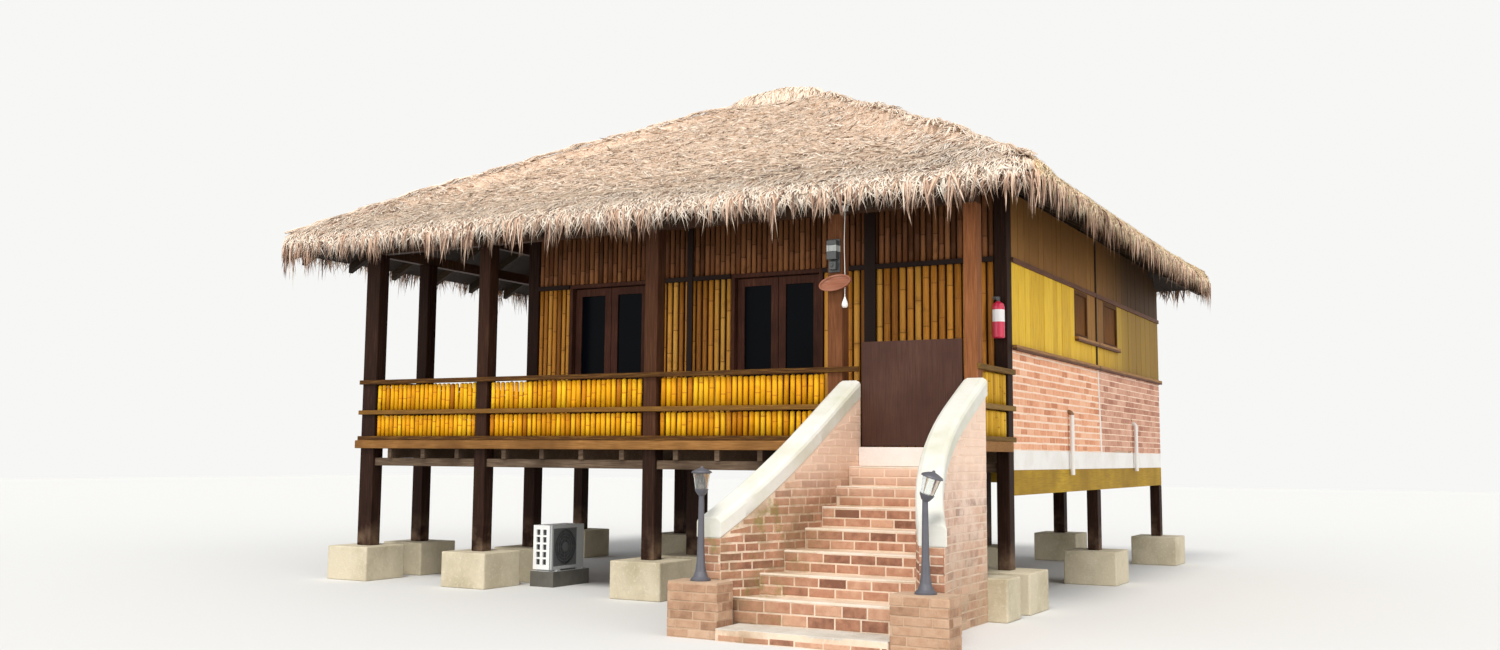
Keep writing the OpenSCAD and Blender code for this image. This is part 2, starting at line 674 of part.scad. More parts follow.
// Rounded cap of thatch over the ridge, fullest in the middle, that runs out onto the slopes
cap_r = 190;
cap_rise = 140;
cap_end_rise = 75;
cap_edge = 40;
cap_reach = run - cap_d - cap_edge;
cap_lap = 15;
under_cap = 800;
module ridge_cap() color("rosybrown") difference() {
    hull() {
        translate([100, roof_y, ridge_z + cap_rise - cap_r]) sphere(r = cap_r, $fn = 28);
        for (m = [-1, 1]) {
            translate([m * ridge_half, roof_y, ridge_z + cap_end_rise - cap_r]) sphere(r = cap_r, $fn = 28);
            for (n = [-1, 1]) translate([m * (ridge_half + cap_reach), roof_y + n * cap_reach,
                                         ridge_z - cap_reach * slope + cap_lap - cap_edge])
                sphere(r = cap_edge, $fn = 16);
        }
    }
    hull() {
        translate([-ridge_half, roof_y, ridge_z - 1]) cube([2 * ridge_half, 0.01, 1]);
        translate([-ridge_half - under_cap, roof_y - under_cap, ridge_z - under_cap * slope - 1])
            cube([2 * (ridge_half + under_cap), 2 * under_cap, 1]);
    }
}

// Plan of a step between the parapets, from its front to its back
function side_line(y0, y1) = [for (y = [y0, (y0 + y1) / 2, y1]) [inner_x(y), y]];
function both_sides(line) = concat(line, [for (k = [len(line) - 1 : -1 : 0]) [-line[k].x, line[k].y]]);

between_piers = pier_off - pier_w / 2;
module stair_steps() color("indianred") translate([stair_x, 0, 0])
    for (k = [0 : steps - 1]) {
        a = step_y[k];
        b = step_y[k + 1];
        linear_extrude(step_z[k]) polygon(k == 0
            ? [[-between_piers, a], [between_piers, a], [between_piers, b], [-between_piers, b]]
            : both_sides(side_line(a, b)));
    }

module stair_top_riser() color("white")
    span([stair_x - stair_half, front_y - 60, step_z[steps - 1]],
         [stair_x + stair_half, front_y, deck_z - 5]);

// Stations of a parapet, from the gate to the foot
stations = ceil((front_y - parapet_end_y) / station);
parapet_ys = [for (k = [0 : stations]) k == 0 ? front_y - 2 : max(station_y(k), parapet_end_y)];

module both_parapets() translate([stair_x, 0, 0]) {
    children();
    mirror([1, 0, 0]) children();
}

// A wall that follows the flare in plan and the coping's fall from the side
module stair_parapets() color("indianred") both_parapets() intersection() {
    linear_extrude(3000) polygon(concat([for (y = parapet_ys) [inner_x(y), y]],
        [for (k = [stations : -1 : 0]) [inner_x(parapet_ys[k]) + parapet_t, parapet_ys[k]]]));
    rotate([90, 0, 90]) linear_extrude(3000)
        polygon(concat([for (y = parapet_ys) [y, coping_z(y) - coping_h]],
            [[parapet_ys[stations], 0], [front_y - 2, 0]]));
}

// Section of a coping, out from the stair and up from its top line, drawn along the same stations
coping_out = 15;
coping_round = [[0, -45], [12, -18], [45, 0], [parapet_t - 30, 0], [parapet_t + 3, -18],
                [parapet_t + coping_out, -45]];
coping_section = concat([[0, -coping_h]], coping_round, [[parapet_t + coping_out, -coping_h]]);
module coping() {
    m = len(coping_section);
    polyhedron(
        [for (y = parapet_ys, p = coping_section) [inner_x(y) + p.x, y, coping_z(y) + p.y]],
        concat([[for (j = [0 : m - 1]) j]], [[for (j = [m - 1 : -1 : 0]) stations * m + j]],
            [for (k = [0 : stations - 1], j = [0 : m - 1]) let (i = (j + 1) % m)
                [k * m + j, (k + 1) * m + j, (k + 1) * m + i, k * m + i]]));
}
module parapet_copings() color("white") both_parapets() coping();

module stair_piers() color("indianred") both_parapets()
    translate([between_piers, step_front_y + 30, 0])
        cube([pier_w, parapet_end_y - step_front_y - 30, pier_h]);

// Lamps: a bell foot, a slim tapering shaft, and a head of a cup, a glass and a cap. The right head leans
lamp_y = step_front_y + 170;
shaft_h = 700;
head_lean = [0, 18];
cup_h = 55;
glass_h = 130;
module lamp(side) translate([stair_x + (side == 0 ? -pier_off : pier_off), lamp_y, pier_h]) children();
module lamp_head(side) translate([0, 0, shaft_h - 6]) rotate([0, head_lean[side], 0]) children();
module lamp_posts() color("slategray") for (side = [0, 1]) lamp(side) {
    rotate_extrude() polygon([[0, 0], [85, 0], [85, 14], [62, 34], [46, 75], [36, 150], [30, 260],
                              [22, shaft_h], [0, shaft_h]]);
    lamp_head(side) {
        rotate_extrude() polygon([[0, 0], [24, 0], [34, 8], [54, cup_h - 14], [58, cup_h], [0, cup_h]]);
        translate([0, 0, cup_h + glass_h]) rotate_extrude()
            polygon([[0, 0], [84, 0], [86, 6], [78, 16], [40, 34], [14, 42], [10, 54], [0, 58]]);
    }
}
module lamp_globes() color("lightcyan") for (side = [0, 1]) lamp(side) lamp_head(side)
    translate([0, 0, cup_h]) cylinder(r1 = 52, r2 = 72, h = glass_h);

// Drains out of the floor: an elbow from the wall into a pipe that stands off it
drain_r = 25;
drain_off = 40;
module drain_pipes() color("white")
    for (p = [[100, 1290, 1990], [3230, 1315, 1933]]) translate([right_x + drain_off, p[0], 0]) {
        translate([0, 0, p[1]]) cylinder(r = drain_r, h = p[2] - drain_off - p[1], $fn = 32);
        translate([-drain_off, 0, p[2] - drain_off]) rotate([90, 0, 0]) rotate_extrude(angle = 90, $fn = 32)
            translate([drain_off, 0]) circle(r = drain_r, $fn = 32);
    }

// Outdoor unit on its plinth: case with a fan bay towards +X and a grille of holes in its front end
ac = [-1310, -2560, 190];
ac_size = [260, 600, 490];
fan_r = 195;
fan_y = 255;
module aircon_unit() color("white") {
    span([ac.x - 20, ac.y - 20, 0], [ac.x + ac_size.x + 40, ac.y + ac_size.y + 60, ac.z - 18]);
    for (y = [70, ac_size.y - 130])
        translate([ac.x - 5, ac.y + y, ac.z - 18]) cube([ac_size.x + 30, 60, 18]);
    translate(ac) {
        difference() {
            cube(ac_size);
            translate([ac_size.x - 30, fan_y, ac_size.z / 2]) rotate([0, 90, 0])
                cylinder(r = fan_r, h = 31, $fn = 64);
            for (i = [0, 1], k = [0 : 4])
                translate([42 + i * 88, -1, 52 + k * 82]) cube([52, 26, 62]);
        }
        translate([ac_size.x - 31, fan_y, ac_size.z / 2]) rotate([0, 90, 0]) {
            cylinder(r = 55, h = 26, $fn = 48);
            for (r = [90, 125, 160]) difference() {
                translate([0, 0, 19]) cylinder(r = r + 3, h = 6, $fn = 64);
                translate([0, 0, 18]) cylinder(r = r - 3, h = 8, $fn = 64);
            }
            for (a = [0 : 45 : 135]) rotate([0, 0, a]) translate([-fan_r, -3, 14]) cube([2 * fan_r, 6, 6]);
        }
    }
}

// Meter: a back board, a housing with a shallow window and a switch below it
meter_x = 2620;
module meter_box() color("darkslategray") translate([meter_x, front_y, 3270]) {
    translate([-62, -12, 0]) cube([124, 12, 330]);
    difference() {
        translate([-52, -84, 120]) cube([104, 73, 190]);
        translate([-30, -85, 200]) cube([60, 7, 62]);
    }
    translate([-38, -62, 22]) cube([76, 51, 80]);
    translate([-10, -74, 48]) cube([20, 13, 34]);
}

// Oval sign of carved wood, bare, with a raised rim, hung at a slant from a block on the post
sign_half = [172, 75];
sign_rim = 16;
sign_off = 40;
function oval(r) = [for (a = [0 : 7.5 : 352.5]) [r.x * cos(a), r.y * sin(a)]];
module hanging_sign() color("sienna") translate([meter_x + 30, front_y - sign_off, 3160]) {
    translate([-60, -5, -35]) cube([80, sign_off + 5, 70]);
    rotate([0, -10, 0]) rotate([90, 0, 0]) difference() {
        linear_extrude(32) polygon(oval(sign_half));
        translate([0, 0, 22]) linear_extrude(11) polygon(oval(sign_half - [sign_rim, sign_rim]));
    }
}

// Lamp holder with its bulb, on a cord that comes down from a rose on the front beam
cord_r = 4;
cord_sides = 8;
cord_steps = 3;
cord_route = [
    [2740, -2975, 3870], [2740, -2975, 3820], [2739, -2976, 3770], [2738, -2977, 3720], [2737, -2978, 3670],
    [2736, -2978, 3620], [2735, -2978, 3570], [2735, -2977, 3520], [2735, -2976, 3470], [2736, -2975, 3420],
    [2737, -2974, 3370], [2738, -2973, 3320], [2739, -2973, 3270], [2740, -2973, 3220], [2741, -2974, 3170],
    [2741, -2975, 3120], [2740, -2975, 3070], [2740, -2975, 3020]
];
function along_route(k) = let (i = min(floor(k / cord_steps), len(cord_route) - 2), t = k / cord_steps - i)
    cord_route[i] * (1 - t) + cord_route[i + 1] * t;
module lamp_cord() color("white") {
    m = cord_sides;
    last = (len(cord_route) - 1) * cord_steps;
    polyhedron(
        [for (k = [0 : last], j = [0 : m - 1])
            along_route(k) + cord_r * [cos(360 * j / m), sin(360 * j / m), 0]],
        concat([[for (j = [m - 1 : -1 : 0]) j]], [[for (j = [0 : m - 1]) last * m + j]],
            [for (k = [0 : last - 1], j = [0 : m - 1]) let (i = (j + 1) % m)
                [k * m + j, k * m + i, (k + 1) * m + i, (k + 1) * m + j]]));
}
module lamp_holder() color("ivory") {
    translate(cord_route[0] - [25, 25, 0]) cube([50, 50, 50]);
    translate(cord_route[len(cord_route) - 1]) rotate_extrude() polygon([[0, -108], [14, -107], [24, -101],
        [30, -88], [31, -70], [27, -56], [27, -50], [24, -46], [14, -20], [9, -12], [9, 0], [0, 0]]);
}

// Extinguisher with domed ends, neck, valve, lever and a hose down its side
bottle = [4005, room_y - 72, 2640];
bottle_r = 60;
module fire_extinguisher() color("red") translate(bottle) {
    rotate_extrude() polygon([[0, 0], [bottle_r - 8, 0], [bottle_r, 10], [bottle_r, 310], [bottle_r - 8, 338],
                              [bottle_r - 30, 356], [17, 362], [17, 380], [0, 380]]);
    translate([-17, -17, 379]) cube([34, 34, 30]);
    translate([-62, -9, 402]) cube([80, 18, 8]);
    translate([-52, -7, 386]) cube([40, 14, 7]);
    translate([-20, 0, 140]) cube([40, 72, 40]);
}

footings();
posts();
bearers();
joists();
verandah_deck();
room_floor();
floor_rim();
front_balustrade();
left_balustrade();
rear_balustrade();
right_balustrade();
front_wall_left();
front_wall_middle();
front_wall_right();
front_wall_top();
left_wall();
rear_brick_wall();
rear_board_wall();
right_brick_wall();
right_board_wall();
floor_band();
side_fascia();
wall_battens();
window_frames();
window_glass();
door_frames();
door_a_left();
door_a_right();
door_b_left();
door_b_right();
glass_a_left();
glass_a_right();
glass_b_left();
glass_b_right();
gate_panel();
hinges();
eave_beams();
rafters();
hip_rafters();
ridge_beam();
thatch_front();
thatch_rear();
thatch_left();
thatch_right();
eave_fringe();
ridge_cap();
stair_steps();
stair_top_riser();
stair_parapets();
parapet_copings();
stair_piers();
lamp_posts();
lamp_globes();
drain_pipes();
aircon_unit();
meter_box();
hanging_sign();
lamp_holder();
lamp_cord();
fire_extinguisher();
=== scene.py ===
"""Looks of a thatched stilt house: bamboo, boards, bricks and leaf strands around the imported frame."""

import math

import bpy
import numpy as np
from mathutils import Matrix, Vector
from mathutils.bvhtree import BVHTree


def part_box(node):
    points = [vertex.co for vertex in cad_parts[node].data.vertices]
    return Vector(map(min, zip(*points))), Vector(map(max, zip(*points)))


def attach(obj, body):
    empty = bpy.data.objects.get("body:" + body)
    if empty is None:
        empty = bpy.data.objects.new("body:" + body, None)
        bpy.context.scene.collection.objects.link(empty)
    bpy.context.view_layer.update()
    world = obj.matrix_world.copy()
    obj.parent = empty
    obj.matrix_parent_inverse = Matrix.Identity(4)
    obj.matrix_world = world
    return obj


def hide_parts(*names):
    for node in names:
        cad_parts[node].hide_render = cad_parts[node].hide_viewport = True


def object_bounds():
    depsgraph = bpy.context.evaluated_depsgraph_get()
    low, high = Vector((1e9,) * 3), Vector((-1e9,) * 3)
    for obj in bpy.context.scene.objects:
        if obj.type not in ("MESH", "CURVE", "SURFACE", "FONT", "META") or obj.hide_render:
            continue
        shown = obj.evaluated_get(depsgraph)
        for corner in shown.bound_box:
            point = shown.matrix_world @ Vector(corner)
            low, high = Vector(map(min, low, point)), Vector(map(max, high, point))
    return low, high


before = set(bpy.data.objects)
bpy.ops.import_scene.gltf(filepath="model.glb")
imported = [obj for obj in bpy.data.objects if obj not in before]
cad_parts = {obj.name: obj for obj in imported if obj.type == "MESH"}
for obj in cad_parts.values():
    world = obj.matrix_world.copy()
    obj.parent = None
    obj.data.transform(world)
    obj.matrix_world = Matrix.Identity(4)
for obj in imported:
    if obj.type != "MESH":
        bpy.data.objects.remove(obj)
cad_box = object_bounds()
rng = np.random.default_rng(11)
UP = np.array([0.0, 0.0, 1.0])
X = np.array([1.0, 0.0, 0.0])
Y = np.array([0.0, 1.0, 0.0])
HOUSE = "house"


# Camera, light and floor

IMAGE_W, IMAGE_H = 1500, 650
FOCAL_PX, PRINCIPAL_Y_PX = 1320.7, 315.2
SENSOR = 36.0
EYE = (8.1, -14.6, 1.47)
YAW, PITCH, ROLL = (math.radians(a) for a in (28.885, 6.0958, 0.436))
LIGHT_COLOUR = (1.0, 0.97, 0.92)
SUNS = (("key", 2.2, 18, (0.18, -0.72, 1.15)), ("side", 1.3, 60, (1.0, -0.35, 0.35)),
        ("front", 1.08, 50, (-0.3, -1.0, 0.2)))
FLOOR_HALF = 60


def add_object(name, data):
    thing = bpy.data.objects.new(name, data)
    bpy.context.scene.collection.objects.link(thing)
    return thing


def make_camera():
    """The photograph's camera, solved from its vanishing points."""
    data = bpy.data.cameras.new("camera")
    data.sensor_width = SENSOR
    data.lens = FOCAL_PX / IMAGE_W * SENSOR
    data.shift_y = (PRINCIPAL_Y_PX - IMAGE_H / 2) / IMAGE_W
    data.clip_end = 400
    camera = add_object("camera", data)
    turn = Matrix.Rotation(YAW, 4, "Z") @ Matrix.Rotation(math.pi / 2 + PITCH, 4, "X")
    camera.matrix_world = Matrix.Translation(EYE) @ turn @ Matrix.Rotation(ROLL, 4, "Z")
    bpy.context.scene.camera = camera


def make_light():
    """Soft light from the sky and three wide suns, before a pale backdrop that gloss and glass show too."""
    world = bpy.data.worlds.new("world")
    bpy.context.scene.world = world
    world.use_nodes = True
    tree = world.node_tree
    sky = tree.nodes["Background"]
    sky.inputs["Color"].default_value = (0.93, 0.96, 1.0, 1)
    sky.inputs["Strength"].default_value = 0.62
    seen = tree.nodes.new("ShaderNodeBackground")
    seen.inputs["Color"].default_value = (0.93, 0.93, 0.92, 1)
    seen.inputs["Strength"].default_value = 1.0
    rays = tree.nodes.new("ShaderNodeLightPath").outputs
    plain, glossy = (tree.nodes.new("ShaderNodeMath") for _ in range(2))
    plain.operation = glossy.operation = "MAXIMUM"
    mix = tree.nodes.new("ShaderNodeMixShader")
    for source, target in (
            (rays["Is Camera Ray"], plain.inputs[0]), (glossy.outputs[0], plain.inputs[1]),
            (rays["Is Glossy Ray"], glossy.inputs[0]), (rays["Is Transmission Ray"], glossy.inputs[1]),
            (plain.outputs[0], mix.inputs[0]), (sky.outputs[0], mix.inputs[1]),
            (seen.outputs[0], mix.inputs[2]), (mix.outputs[0], tree.nodes["World Output"].inputs["Surface"])):
        tree.links.new(source, target)
    for name, strength, angle, towards in SUNS:
        data = bpy.data.lights.new(name, "SUN")
        data.energy = strength
        data.angle = math.radians(angle)
        data.color = LIGHT_COLOUR
        add_object(name, data).rotation_euler = Vector(towards).to_track_quat("Z", "Y").to_euler()
    bpy.context.scene.view_settings.view_transform = "Standard"


def make_floor():
    mesh = bpy.data.meshes.new("floor")
    corners = [(x * FLOOR_HALF, y * FLOOR_HALF, 0) for x, y in ((-1, -1), (1, -1), (1, 1), (-1, 1))]
    mesh.from_pydata(corners, [], [(0, 1, 2, 3)])
    pale = Paint("pale_floor", 0.9)
    pale.colour((0.68, 0.68, 0.67))
    mesh.materials.append(pale.material)
    add_object("floor", mesh)


CORD_DIAMETER = 0.008
CORD_ROUTE = ((2.740, -2.975, 3.870), (2.740, -2.975, 3.820), (2.739, -2.976, 3.770), (2.738, -2.977, 3.720),
              (2.737, -2.978, 3.670), (2.736, -2.978, 3.620), (2.735, -2.978, 3.570), (2.735, -2.977, 3.520),
              (2.735, -2.976, 3.470), (2.736, -2.975, 3.420), (2.737, -2.974, 3.370), (2.738, -2.973, 3.320),
              (2.739, -2.973, 3.270), (2.740, -2.973, 3.220), (2.741, -2.974, 3.170), (2.741, -2.975, 3.120),
              (2.740, -2.975, 3.070), (2.740, -2.975, 3.020))


def make_cord():
    """The flex of the hanging lamp, from the rose on the front beam to the lamp holder behind the sign."""
    line = bpy.data.curves.new("lamp_flex", "CURVE")
    line.dimensions = "3D"
    line.bevel_depth = CORD_DIAMETER / 2
    line.bevel_resolution = 3
    route = line.splines.new("POLY")
    route.points.add(len(CORD_ROUTE) - 1)
    for point, place in zip(route.points, CORD_ROUTE):
        point.co = (*place, 1)
    flex = add_object("lamp_flex", line)
    white = Paint("flex_white", 0.5)
    white.colour(white.mix(white.noise(30.0, 2.0), (0.72, 0.71, 0.67), (0.86, 0.85, 0.82)))
    line.materials.append(white.material)
    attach(flex, HOUSE)
    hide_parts("lamp_cord")


# Procedural materials

class Paint:
    """One procedural material, built from short calls. Values are sockets, numbers or colours."""

    def __init__(self, name, rough=0.6, metal=0.0, **sockets):
        self.material = bpy.data.materials.new(name)
        self.material.use_nodes = True
        self.tree = self.material.node_tree
        self.shader = self.tree.nodes["Principled BSDF"]
        self.shader.inputs["Roughness"].default_value = rough
        self.shader.inputs["Metallic"].default_value = metal
        for key, value in sockets.items():
            self.shader.inputs[key.replace("_", " ")].default_value = value
        self.at = self.add("ShaderNodeTexCoord").outputs["Object"]

    def add(self, kind, **links):
        node = self.tree.nodes.new(kind)
        for key, value in links.items():
            self.feed(node.inputs[key.replace("_", " ")], value)
        return node

    def feed(self, socket, value):
        if isinstance(value, bpy.types.NodeSocket):
            self.tree.links.new(value, socket)
        elif isinstance(value, tuple) and len(value) == 3 and socket.type == "RGBA":
            socket.default_value = (*value, 1.0)
        else:
            socket.default_value = value

    def stretch(self, x, y, z):
        return self.add("ShaderNodeMapping", Vector=self.at, Scale=(x, y, z)).outputs[0]

    def noise(self, scale, detail, rough=0.55, at=None):
        node = self.add("ShaderNodeTexNoise", Vector=at or self.at, Scale=scale, Detail=detail)
        node.inputs["Roughness"].default_value = rough
        return node.outputs["Fac"]

    def grain(self, along, fine, slow, detail=5.0, rough=0.6):
        """Fine lines that run along one axis."""
        scales = [slow if axis == along else fine for axis in "xyz"]
        return self.noise(1.0, detail, rough, self.stretch(*scales))

    def attribute(self, name):
        node = self.add("ShaderNodeAttribute")
        node.attribute_name = name
        return node.outputs["Fac"]

    def math(self, operation, a, b=0.0):
        node = self.tree.nodes.new("ShaderNodeMath")
        node.operation = operation
        self.feed(node.inputs[0], a)
        self.feed(node.inputs[1], b)
        return node.outputs[0]

    def times(self, first, *more):
        for value in more:
            first = self.math("MULTIPLY", first, value)
        return first

    def below(self, value, limit):
        return self.math("LESS_THAN", value, limit)

    def above(self, value, limit):
        return self.math("GREATER_THAN", value, limit)

    def near(self, value, middle, reach):
        return self.below(self.math("ABSOLUTE", self.math("SUBTRACT", value, middle)), reach)

    def span(self, value, low, high, to_low=0.0, to_high=1.0):
        node = self.add("ShaderNodeMapRange", Value=value)
        for key, number in zip(("From Min", "From Max", "To Min", "To Max"), (low, high, to_low, to_high)):
            node.inputs[key].default_value = number
        return node.outputs[0]

    def ramp(self, value, *stops):
        node = self.add("ShaderNodeValToRGB", Fac=value)
        marks = node.color_ramp.elements
        while len(marks) < len(stops):
            marks.new(0.5)
        for mark, (place, colour) in zip(marks, stops):
            mark.position = place
            mark.color = (*colour, 1.0)
        return node.outputs["Color"]

    def shades(self, value, *colours, marks=(0.25, 0.55, 0.8)):
        return self.ramp(value, *zip(marks, colours))

    def mix(self, amount, a, b):
        node = self.tree.nodes.new("ShaderNodeMix")
        node.data_type = "RGBA"
        self.feed(node.inputs["Factor"], amount)
        self.feed(node.inputs[6], a)
        self.feed(node.inputs[7], b)
        return node.outputs[2]

    def split(self, at=None):
        return self.add("ShaderNodeSeparateXYZ", Vector=at or self.at).outputs

    def shaded_upwards(self, colour, to, eave_shade):
        """The colour, painted darker upwards as shade under the eave: it turns to another one between two
        heights by a share, or stays as it is.
        """
        if not eave_shade:
            return colour
        low, high, share = eave_shade
        return self.mix(self.span(self.split()[2], low, high, 0.0, share), colour, to)

    def colour(self, value):
        self.feed(self.shader.inputs["Base Color"], value)

    def rough(self, value, low, high):
        self.feed(self.shader.inputs["Roughness"], self.span(value, 0.0, 1.0, low, high))

    def bump(self, height, distance=0.004, strength=1.0):
        node = self.add("ShaderNodeBump", Height=height, Strength=strength, Distance=distance)
        held = self.shader.inputs["Normal"].links
        if held:
            self.feed(node.inputs["Normal"], held[0].from_socket)
        self.feed(self.shader.inputs["Normal"], node.outputs[0])


SHEEN = 0.1


def timber(name, along, dark, mid, light, rough=0.6, toned=False, eave_shade=None, rear=None):
    """Sawn or planed timber with grain, and with stains or, on loose boards, a tone of its own.

    It may be painted darker upwards as shade under the eave. rear is a darker colour, painted shade, that it
    turns to behind the wall's joint, and how far.
    """
    paint = Paint(name, rough, Specular_IOR_Level=SHEEN)
    lines = paint.grain(along, 90.0, 4.0)
    colour = paint.shades(lines, dark, mid, light, marks=(0.25, 0.5, 0.78))
    if toned:
        tone = paint.attribute("tone")
        colour = paint.mix(paint.span(tone, 0.0, 1.0, 0.45, 0.0), colour, dark)
        colour = paint.mix(paint.span(tone, 0.6, 1.0, 0.0, 0.4), colour, light)
    else:
        colour = paint.mix(paint.span(paint.noise(1.6, 3.0), 0.35, 0.75), colour, dark)
    colour = paint.shaded_upwards(colour, dark, eave_shade)
    # Painted shade: behind the wall's joint the boards darken towards the rear.
    if rear:
        behind = paint.span(paint.split()[1], JOINT_Y, JOINT_Y + 1.6, 0.0, rear[1])
        colour = paint.mix(behind, colour, rear[0])
    paint.colour(colour)
    paint.rough(lines, rough - 0.12, rough + 0.15)
    paint.bump(lines, 0.002, 0.6)
    return paint.material


def thatch_paint(name, colours, side=None):
    """Dry leaf. A bare slope is streaked downwards, and painted dark as shade on its underside and in its
    worn hollows; strands carry their own tone.
    """
    paint = Paint(name, 0.85)
    if side:
        origin, along, inward, _ = SIDES[side]
        across, down = 70.0, 9.0
        scales = across * np.abs(along) + down * (np.abs(inward) + UP)
        streak = paint.noise(1.0, 6.0, 0.7, paint.stretch(*scales))
        value = paint.math("ADD", paint.times(streak, 0.6), paint.times(paint.noise(3.0, 4.0), 0.1))
        paint.bump(streak, 0.03, 1.0)
        # Painted shade: below the slope's plane, on the underside and in the worn hollows, the value drops so
        # that the colour turns to SHADE.
        fall = UP - SLOPE * inward
        level = paint.add("ShaderNodeVectorMath", Vector=paint.at)
        level.operation = "DOT_PRODUCT"
        level.inputs[1].default_value = fall
        plane = EAVE_Z + float(np.dot(origin, fall))
        value = paint.times(value, paint.span(level.outputs["Value"], plane - 0.05, plane - 0.01, 0.12, 1.0))
    else:
        patches = paint.span(paint.noise(1.3, 3.0), 0.3, 0.7, -0.1, 0.1)
        tone = paint.math("ADD", paint.attribute("tone"), patches)
        value = paint.times(tone, paint.span(paint.attribute("along"), 0.0, 0.3, 0.75, 1.0))
    paint.colour(paint.ramp(value, *zip((0.08, 0.3, 0.55, 0.95), colours)))
    return paint.material


def bamboo_paint(name, dark, mid, light, rough=0.35, eave_shade=None):
    """Varnished split bamboo: each culm its own tone, darker at its nodes, with fine fibres, and, when asked,
    painted darker upwards as shade under the eave.
    """
    paint = Paint(name, rough, Specular_IOR_Level=SHEEN)
    fibres = paint.grain("z", 140.0, 5.0)
    tone = paint.math("ADD", paint.attribute("tone"), paint.span(fibres, 0.3, 0.7, -0.16, 0.16))
    colour = paint.shades(tone, dark, mid, light, marks=(0.1, 0.5, 0.9))
    colour = paint.mix(paint.span(paint.noise(9.0, 3.0), 0.58, 0.75, 0.0, 0.5), colour, dark)
    colour = paint.mix(paint.attribute("along"), colour, dark)
    paint.colour(paint.shaded_upwards(colour, dark, eave_shade))
    paint.rough(fibres, rough - 0.1, rough + 0.2)
    paint.bump(fibres, 0.001, 0.5)
    return paint.material


def weathered(paint, colour):
    """Stair masonry: limed outside the right parapet, pale at the head, mossy beside the left parapet."""
    x, _, z = paint.split()
    turned = paint.split(paint.add("ShaderNodeTexCoord").outputs["Normal"])[0]
    outer = paint.times(paint.above(turned, 0.5), paint.above(x, STAIR_X + 0.3))
    lime = paint.ramp(z, (0.2, (0.48, 0.35, 0.23)), (1.0, (0.82, 0.64, 0.53)))
    cover = paint.span(paint.noise(5.5, 6.0, 0.65), 0.42, 0.6, 0.35, 0.85)
    colour = paint.mix(paint.times(outer, cover), colour, lime)
    colour = paint.mix(paint.span(z, 1.05, 1.42, 0.0, 0.78), colour, (0.88, 0.66, 0.52))
    left = paint.span(x, STAIR_X - STAIR_HALF + 0.35, STAIR_X - STAIR_HALF - 0.05)
    damp = paint.times(left, paint.span(z, 1.45, 1.0))
    soil = paint.times(damp, paint.span(paint.noise(3.2, 5.0, 0.65), 0.42, 0.62, 0.0, 0.75))
    colour = paint.mix(soil, colour, (0.3, 0.19, 0.1))
    moss = paint.times(damp, paint.span(paint.noise(4.6, 6.0, 0.7), 0.56, 0.66, 0.0, 0.7))
    return paint.mix(moss, colour, (0.22, 0.2, 0.05))


def brick_paint(name, dark, mid, light, weather=False):
    """Fired brick, each with its tone, and with dark pits."""
    paint = Paint(name, 0.88)
    tone = paint.math("ADD", paint.attribute("tone"), paint.span(paint.noise(14.0, 4.0), 0.3, 0.7, -0.2, 0.2))
    colour = paint.shades(tone, dark, mid, light, marks=(0.05, 0.45, 0.95))
    colour = paint.mix(paint.span(paint.noise(55.0, 3.0), 0.6, 0.72, 0.0, 0.35), colour, dark)
    paint.colour(weathered(paint, colour) if weather else colour)
    paint.bump(paint.noise(70.0, 5.0, 0.7), 0.006, 0.8)
    return paint.material


def mineral(name, base, stain, speck, rough=0.85, scale=1.0, bump=0.004, weather=False):
    """Concrete, mortar, plaster or limewash with broad stains and fine specks."""
    paint = Paint(name, rough)
    colour = paint.mix(paint.span(paint.noise(2.2 * scale, 5.0, 0.6), 0.42, 0.72, 0.0, 0.75), base, stain)
    colour = paint.mix(paint.span(paint.noise(38.0 * scale, 3.0), 0.55, 0.75, 0.0, 0.5), colour, speck)
    paint.colour(weathered(paint, colour) if weather else colour)
    paint.bump(paint.noise(60.0 * scale, 5.0, 0.65), bump, 0.6)
    return paint.material


# Meshes made from many small shapes

def place(mesh, name, material, slot, *replaced):
    """Makes a mesh a piece of the house, in place of the nodes that it stands for."""
    mesh.materials.append(material)
    piece = add_object(name, mesh)
    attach(piece, HOUSE)
    if replaced:
        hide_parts(*replaced)


